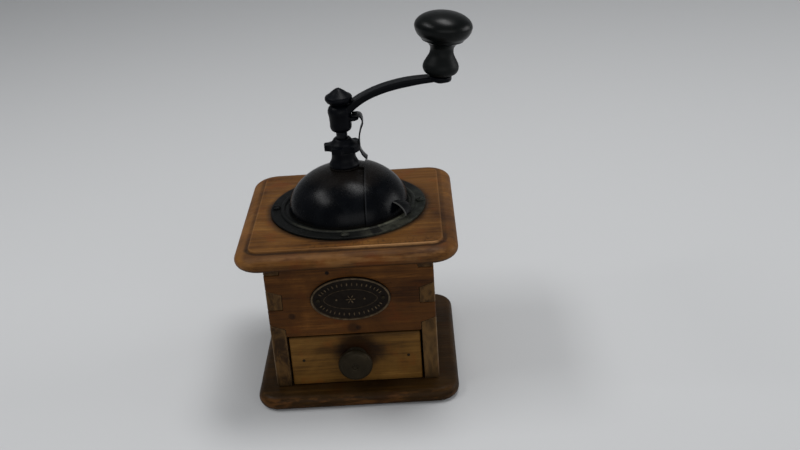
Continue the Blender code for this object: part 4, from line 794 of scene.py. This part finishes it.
def build_door():
    door = turned("domed_door", shell_stations(0.5, 0.8, DOOR_FOOT), 192)
    under, over = 100, 160
    plan = box_cutter("door_plan", (DOOR_EDGE, -FAR, under), (FAR, FAR, over))
    carved(plan, box_cutter("tongue_plan", (0, -4, under), (DOOR_EDGE + 2, 4, over)), "UNION")
    carved(plan, plug("eye_plan", 9.8, under, over, 96), "UNION")
    carved(door, plan, "INTERSECT")
    dressed(settled(door, merge=FINE_MERGE), DOOR_PAINT, "door", "black_enamel", "hopper_door")


def build_catch():
    """The door's thumb catch: a pressed scoop, open at its front, that runs out to the foot behind."""
    foot = 118.9
    section = curve([(37.6, 126.2), (40.0, 126.0), (43.2, 124.9), (46.0, 122.8), (47.6, 120.3),
                     (47.7, foot)], 4)
    steps, start, span = 14, -37.0, 24.0
    turn = span / steps
    x, z = section[0]
    catch = started("thumb_catch", bpy.ops.mesh.primitive_plane_add, size=0.2 * MM,
                    location=(x * MM, 0, z * MM))
    bpy.ops.mesh.merge(type="CENTER")
    for next_x, next_z in section[1:]:
        drawn_out(next_x - x, 0, next_z - z)
        x, z = next_x, next_z
    left = 1.0
    for step in range(1, steps + 1):
        bpy.ops.mesh.select_all(action="SELECT")
        turn_about(-turn)
        choose(catch, "VERT", lambda place, normal: degrees(atan2(place.y, place.x)) > -1.5 * turn)
        drawn_out()
        turn_about(turn)
        next_left = max(0.03, 1 - (step / steps) ** 2)
        stretched((next_left / left, 1, next_left / left), (40.0 * MM, 0, foot * MM))
        left = next_left
    bpy.ops.mesh.select_all(action="SELECT")
    turn_about(start + span)
    settled(catch, 50.0, FINE_MERGE)
    applied(catch, "SOLIDIFY", thickness=0.75 * MM, offset=0.0)
    eased(catch, 0.18, 2, 60.0, 50.0)
    dressed(catch, CATCH_PAINT, "door", "black_enamel")


# Mechanism

def build_pillar():
    flare = curve([(9.8, PILLAR_FOOT + 0.5), (9.7, PILLAR_FOOT + 1.4), (9.0, PILLAR_FOOT + 2.8),
                   (8.2, PILLAR_FOOT + 4.4), (7.8, PILLAR_FOOT + 6.2), (7.7, PILLAR_TOP - 0.8)], 5)
    stations = [(6.4, LAND_TOP - 2.5), (6.4, LAND_TOP - 1.3), (5.2, LAND_TOP - 1.3), (5.2, PILLAR_FOOT),
                (9.4, PILLAR_FOOT), (9.7, PILLAR_FOOT + 0.15), *flare, (7.4, PILLAR_TOP - 0.2),
                (7.0, PILLAR_TOP), (3.9, PILLAR_TOP), (3.9, LAND_TOP - 2.5), (6.4, LAND_TOP - 2.5)]
    dressed(turned("bearing_column", stations), PILLAR_PAINT, "case", "black_enamel", "bearing_pillar")


def build_nut():
    """A crowned disc with five round notches; one notch faces the latch."""
    edge_foot = NUT_FOOT + 0.4
    edge_top = edge_foot + 3.9
    crown = curve([(9.6, edge_top), (8.4, edge_top + 0.35), (7.2, edge_top + 1.3), (6.2, edge_top + 2.6),
                   (5.7, edge_top + 3.3), (5.2, NUT_TOP)], 4)
    stations = [(3.9, NUT_FOOT), (7.6, NUT_FOOT), (7.6, edge_foot), (12.1, edge_foot), (12.1, edge_top),
                *crown, (3.9, NUT_TOP), (3.9, NUT_FOOT)]
    nut = turned("notched_nut", stations, 120)
    notches, circle = 5, 14.2
    for notch in range(notches):
        way = 2 * pi * notch / notches
        spot = (circle * cos(way) * MM, circle * sin(way) * MM, (edge_foot + edge_top) / 2 * MM)
        cutter = started("notch_cutter", bpy.ops.mesh.primitive_cylinder_add, vertices=48, radius=5.4 * MM,
                         depth=6.4 * MM, location=spot)
        rest()
        carved(nut, cutter)
    settled(nut, merge=FINE_MERGE)
    eased(nut, 0.45, 3, 40.0)
    dressed(nut, NUT_PAINT, "adjuster", "black_enamel", "adjusting_nut")


def arm_point(t):
    """Middle line of the arm, as (x, height) in mm."""
    start = Vector((4.9, HUB_TOP - 4.2))
    end = Vector(EYE) - Vector((0.0, 0.1))
    lift = start + Vector((9.8, 9.8))
    reach = end + Vector((-31.0, -0.2))
    s = 1 - t
    return start * s ** 3 + lift * 3 * s * s * t + reach * 3 * s * t * t + end * t ** 3


def arm_slope(t):
    """How steeply the arm's middle line rises at t."""
    ahead = (arm_point(t + 0.01) - arm_point(t)).normalized()
    return atan2(ahead.y, ahead.x)


def arm_bar():
    """Flat bar swept along the arm's line: a rounded section is extruded, moved and turned."""
    steps = 40
    thick, wide = 5.4, 11.0
    here, before = arm_point(0.0), arm_slope(0.0)
    root = (here.x * MM, 0, here.y * MM)
    bar = started("arm_bar", bpy.ops.mesh.primitive_plane_add, size=MM, location=root,
                  rotation=(0, pi / 2, 0))
    stretched((1, wide, thick), root)
    bpy.ops.mesh.bevel(offset=1.15 * MM, segments=4, affect="VERTICES")
    bpy.ops.mesh.select_all(action="SELECT")
    bpy.ops.transform.rotate(value=before, orient_axis="Y", center_override=root)
    for step in range(1, steps + 1):
        t = 0.95 * step / steps
        there, slope = arm_point(t), arm_slope(t)
        drawn_out(there.x - here.x, 0, there.y - here.y)
        centre = (there.x * MM, 0, there.y * MM)
        bpy.ops.transform.rotate(value=slope - before, orient_axis="Y", center_override=centre)
        next_thick = 4.5 + 0.9 * max(0.0, 1 - 3 * t) - 6.0 * max(0.0, t - 0.75)
        next_wide = 10.0 + 1.0 * (1 - t)
        thicker = next_thick / thick
        stretched((thicker,) * 3, centre)
        stretched((1, next_wide / wide / thicker, 1), centre)
        here, before, thick, wide = there, slope, next_thick, next_wide
    return settled(bar)


def on_eye(piece, up=0.0):
    """Puts a piece made round Z onto the leaning axis of the knob pin."""
    return placed(piece, at(EYE[0], 0, EYE[1]) @ Matrix.Rotation(radians(LEAN), 4, "Y") @ at(0, 0, up))


def build_crank():
    height = HUB_TOP - HUB_FOOT
    outside = curve([(5.0, 0.0), (6.2, 0.05), (7.0, 0.16), (7.05, 0.40), (7.3, 0.57), (7.7, 0.70),
                     (7.6, 0.80), (6.8, 0.90), (5.3, 0.985)], 5)
    stations = [(0.0, HUB_FOOT), *[(r, HUB_FOOT + z * height) for r, z in outside], (4.9, HUB_TOP),
                (0.0, HUB_TOP)]
    crank = turned("forged_crank", stations, 72)
    carved(crank, arm_bar(), "UNION")
    eye = turned("arm_eye", [(0.0, -1.8), (6.7, -1.8), (7.4, -1.1), (7.4, 1.0), (6.8, 1.6), (0.0, 1.6)], 64)
    carved(crank, on_eye(eye), "UNION")
    lug = turned("latch_lug", [(0.0, 175.6), (4.1, 175.6), (4.5, 176.0), (4.5, 178.0), (4.1, 178.39),
                               (0.0, 178.39)], 48)
    carved(crank, placed(lug, at(7.3, 0, 0)), "UNION")
    # Forged in one: the joints between hub, arm and eye are melted together
    applied(crank, "REMESH", mode="VOXEL", voxel_size=0.33 * MM)
    applied(crank, "SMOOTH", factor=0.5, iterations=5)
    carved(crank, plug("shaft_bore", 3.7, HUB_FOOT - 2, HUB_TOP + 2, 48))
    carved(crank, on_eye(plug("pin_bore", 2.8, -4.0, 4.0, 48)))
    dressed(settled(crank, 50.0, FINE_MERGE), CRANK_PAINT, "crank", "black_enamel", "crank_arm")


def build_cap():
    stations = [(0.0, CAP_FOOT), (5.4, CAP_FOOT), (5.8, CAP_FOOT + 0.2), (7.6, CAP_FOOT + 1.1),
                *arc(7.5, CAP_FOOT + 3.6, 1.3, 1.9, -70, 70, 10), (7.0, CAP_FOOT + 5.8),
                (4.4, CAP_FOOT + 7.9), (2.2, CAP_TOP - 0.7), (1.2, CAP_TOP - 0.15), (0.0, CAP_TOP)]
    dressed(turned("cap_nut_cone", stations, 72), CRANK_PAINT, "crank", "black_enamel", "cap_nut")


def build_latch():
    """A steel strip, curled over at its root, that hangs into a notch of the nut and flares out."""
    edge = NUT_FOOT + 0.4
    root = 179.19
    root_wide = wide = 8.8
    line = curve([(7.8, root), (9.4, root + 0.05), (11.2, root - 0.05), (12.9, root - 0.9),
                  (13.9, root - 3.0), (13.9, root - 6.4), (12.7, HUB_FOOT + 1.4), (11.2, NUT_TOP + 0.4),
                  (10.95, edge + 2.0), (11.1, edge - 0.2), (12.2, edge - 3.2), (14.3, edge - 6.0),
                  (15.4, edge - 6.7)], 5)
    x, z = line[0]
    start = (x * MM, 0, z * MM)
    strip = started("latch_strip", bpy.ops.mesh.primitive_plane_add, size=MM, location=start)
    stretched((0.2, wide, 1), start)
    choose(strip, "VERT", lambda place, normal: place.x > start[0])
    x += 0.1
    for next_x, next_z in line[1:]:
        drawn_out(next_x - x, 0, next_z - z)
        # The strip narrows on its way down and flares again at its end
        drop = min(1.0, max(0.0, (root - 2.0 - next_z) / (root - 8.0 - HUB_FOOT)))
        next_wide = root_wide - 3.0 * drop + (0.9 if next_z < edge - 3.0 else 0.0)
        stretched((1, next_wide / wide, 1), AXIS)
        x, z, wide = next_x, next_z, next_wide
    applied(strip, "SOLIDIFY", thickness=0.95 * MM, offset=0.0)
    eased(strip, 0.22, 3, 50.0)
    dressed(settled(strip, 40.0, FINE_MERGE), LATCH_STEEL, "latch", "bare_steel", "latch_spring")
    rivet = turned("rivet_head", [(0.0, -3.2), (1.0, -3.2), (1.0, 0.0), (1.8, 0.0),
                                  *arc(0.0, 0.1, 1.8, 0.8, 5, 90, 7)], 32)
    dressed(placed(rivet, at(9.4, 0, 179.99)), LATCH_STEEL, "crank", "bare_steel", "latch_rivet")


def build_knob():
    line = curve([(6.8, 0.0), (7.8, 0.3), (10.3, 2.0), (11.4, 4.7), (11.0, 7.2), (9.7, 9.8), (8.0, 13.0),
                  (7.4, 15.4), (7.6, 17.8), (9.2, 20.4)], 6)
    line += curve([(12.2, 22.0), (13.2, 22.4), (13.6, 23.0), (14.3, 23.9), (16.2, 25.8), (17.6, 28.4),
                   (18.2, 30.8)], 5)
    knob = turned("mushroom_knob", [(0.0, 0.0), *line, *arc(0.0, 30.9, 18.2, 9.4, 4, 90, 22)], 128)
    dressed(on_eye(knob, 1.95), LACQUER, "knob", "black_lacquer", "handle_knob")
    pin = turned("pin_foot", [(0.0, -3.2), (2.9, -3.2), (3.6, -2.9), (4.0, -1.9), (2.5, -1.9), (2.5, 4.0),
                              (0.0, 4.0)], 48)
    dressed(on_eye(pin), LATCH_STEEL, "crank", "bare_steel", "knob_pin")


def build_shaft():
    stations = [(0.0, 50.8), (2.6, 50.8), (2.6, 60.6), (3.3, 60.6), (3.3, 86.7), (6.0, 86.7), (6.0, 88.4),
                (3.6, 88.5), (3.6, HUB_FOOT + 0.4), (3.1, HUB_FOOT + 0.5), (2.7, HUB_TOP + 5.8),
                (0.0, HUB_TOP + 5.8)]
    dressed(turned("vertical_shaft", stations, 48), LATCH_STEEL, "crank", "bare_steel", "shaft")


# Badge

def oval_plate(name, wide, tall, out, steps):
    """An oval plate facing the front: a disc is stretched, then inset and pushed out step by step (mm)."""
    centre = (0, -out * MM, BADGE_MIDDLE * MM)
    piece = started(name, bpy.ops.mesh.primitive_circle_add, vertices=128, radius=MM, fill_type="NGON",
                    location=centre, rotation=(pi / 2, 0, 0))
    stretched((wide / 2, 1, tall / 2), centre)
    drawn_out(y=-0.1)
    bpy.ops.mesh.select_all(action="SELECT")
    bpy.ops.mesh.normals_make_consistent(inside=False)
    edge = -(out + 0.05) * MM
    # Only the front face has its centre at the plate's middle
    choose(piece, "FACE",
           lambda place, normal: place.y < edge and hypot(place.x, place.z - BADGE_MIDDLE * MM) < MM)
    for inset, rise in steps:
        bpy.ops.mesh.inset(thickness=inset * MM, depth=rise * MM)
    return settled(piece)


def on_badge(ornament, name, across, up, out, turn=0.0):
    """Puts a copy of a small raised ornament, made round Z, onto the badge (mm)."""
    spot = at(across, -out, BADGE_MIDDLE + up) @ FACING @ Matrix.Rotation(turn, 4, "Z")
    dressed(copied(ornament, name, spot), BRONZE, "case", "bronze")


def build_badge():
    low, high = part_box("badge_plate")
    wide, tall = (high.x - low.x) / MM, (high.z - low.z) / MM
    face = CASE_FRONT + 0.3
    field = face + 1.40
    steps = [(0.05, 1.1), (0.25, 0.45), (0.25, 0.25), (0.35, 0.12), (0.3, -0.05), (0.25, -0.25),
             (0.25, -0.35), (0.1, -0.12), (6.4, 0.0), (0.15, 0.2), (0.2, 0.1), (0.2, -0.1), (0.15, -0.2),
             (0.6, 0.0)]
    dressed(oval_plate("oval_badge", wide, tall, face, steps), BRONZE, "case", "bronze", "badge_plate")
    mark = turned("mark", [(0.5, 0.0), *arc(0.0, 0.0, 0.5, 0.55, 20, 90, 4)], 16)
    edit(mark)
    stretched((1, 2.6, 1), AXIS)
    rest()
    marks, petals = 40, 6
    for number in range(marks):
        way = 2 * pi * (number + 0.5) / marks
        across, up = (wide / 2 - 5.0) * cos(way), (tall / 2 - 4.7) * sin(way)
        if abs(up) > 3.4:
            turn = atan2(sin(way) * wide, cos(way) * tall) - pi / 2
            on_badge(mark, f"rim_mark_{number + 1}", across, up, field, turn)
    for number in range(petals):
        way = 2 * pi * number / petals
        on_badge(mark, f"petal_{number + 1}", 2.1 * cos(way), 2.1 * sin(way), field, way - pi / 2)
    gone(mark)
    dot = turned("dot", [(0.8, 0.0), *arc(0.0, 0.0, 0.8, 0.6, 15, 90, 4)], 16)
    for name, across in (("left", -9.0), ("middle", 0.0), ("right", 9.0)):
        on_badge(dot, f"{name}_dot", across, 0.0, field)
    gone(dot)
    nail = turned("badge_nail", [(0.0, -2.0), (0.7, -2.0), (0.7, 0.0),
                                 *arc(0.0, 0.0, 1.4, 0.75, 8, 90, 6)], 32)
    for node, across in (("badge_nail_left", -20.75), ("badge_nail_right", 20.75)):
        head = copied(nail, f"round_{node}", at(across, -(face + 1.45), BADGE_MIDDLE) @ FACING)
        dressed(head, PATINA, "case", "bronze", node)
    gone(nail)


# Grinding gear, kept from the frame

def build_gear():
    for node, finish, body, slot, width in (("outer_burr", BURR_IRON, "case", "burr_iron", 0.0),
                                            ("inner_burr", BURR_IRON, "crank", "burr_iron", 0.0),
                                            ("bearing_bridge", BRIDGE_IRON, "case", "dark_iron", 0.3)):
        dressed(cleaned(node, f"fine_{node}", width), finish, body, slot, node)
    for node, body, width in (("burr_nut", "crank", 0.2), ("spring_washer", "crank", 0.2),
                              ("burr_bolt_1", "case", 0.0), ("burr_bolt_2", "case", 0.0),
                              ("burr_bolt_3", "case", 0.0), ("bridge_screw_left", "case", 0.0),
                              ("bridge_screw_right", "case", 0.0), ("drawer_knob_screw", "drawer", 0.0),
                              ("burr_spring", "crank", 0.0)):
        dressed(cleaned(node, f"fine_{node}", width), STEEL, body, "bare_steel", node)


# Floor, light and camera

def build_table():
    """A pale table whose far side rises in a wide curve."""
    table = started("pale_table", bpy.ops.mesh.primitive_plane_add, size=2.0, location=(0, 0, 0))
    choose(table, "VERT", lambda place, normal: place.y > 0.5)
    bpy.ops.transform.translate(value=(0, 0.4, 0))
    bend = 500.0
    for step in range(10):
        low, high = radians(9 * step), radians(9 * step + 9)
        drawn_out(0, bend * (sin(high) - sin(low)), bend * (cos(low) - cos(high)))
    drawn_out(z=2500.0)
    rest()
    table.scale = (6, 1, 1)
    settled(table, 60.0)
    paper = Finish("pale_paper", Roughness=0.9, Specular_IOR_Level=0.1, Base_Color=tint(193, 194, 195))
    table.data.materials.append(paper.material)


def lamp(name, place, aim, size, power):
    rest()
    bpy.ops.object.light_add(type="AREA", location=place)
    light = bpy.context.object
    light.name = name
    light.data.shape = "RECTANGLE"
    light.data.size, light.data.size_y = size
    light.data.energy = power
    light.rotation_euler = (Vector(aim) - Vector(place)).to_track_quat("-Z", "Y").to_euler()


def light_studio():
    world = bpy.data.worlds.new("studio")
    bpy.context.scene.world = world
    world.use_nodes = True
    background = world.node_tree.nodes["Background"]
    background.inputs["Color"].default_value = (0.95, 0.97, 1.0, 1.0)
    background.inputs["Strength"].default_value = 0.30
    lamp("overhead_light", (0.25, 0.18, 1.3), (0, 0, 0.1), (0.6, 0.35), 7.5)
    lamp("left_window", (-0.8, -0.1, 1.2), (0, 0, 0.1), (0.8, 0.3), 6.5)
    lamp("right_light", (1.9, 0.3, 0.5), (0, 0, 0.1), (1.2, 0.8), 11.0)
    lamp("front_light", (0.5, -1.8, 0.6), (0, 0, 0.08), (2.4, 1.0), 11.0)


def set_camera():
    """The photo's own view, fitted to the corners of the case."""
    yaw, pitch, roll = -0.0247, 0.4386, 0.0697
    forward = Vector((sin(yaw) * cos(pitch), cos(yaw) * cos(pitch), -sin(pitch)))
    right = Vector((cos(yaw), -sin(yaw), 0))
    down = forward.cross(right)
    across = right * cos(roll) + down * sin(roll)
    up = right * sin(roll) - down * cos(roll)
    bpy.ops.object.camera_add()
    camera = bpy.context.object
    camera.data.sensor_width = 36.0
    camera.data.lens = 47.499
    camera.data.clip_start = 0.01
    turn = Matrix((across, up, -forward)).transposed().to_4x4()
    camera.matrix_world = Matrix.Translation((0.04927, -0.64143, 0.39999)) @ turn
    bpy.context.scene.camera = camera


set_camera()
build_base()
build_top()
build_case()
build_drawer()
build_bowl()
build_dome()
build_door()
build_catch()
build_pillar()
build_nut()
build_crank()
build_cap()
build_latch()
build_knob()
build_shaft()
build_badge()
build_gear()
build_table()
light_studio()
bpy.context.scene.view_settings.view_transform = "Standard"
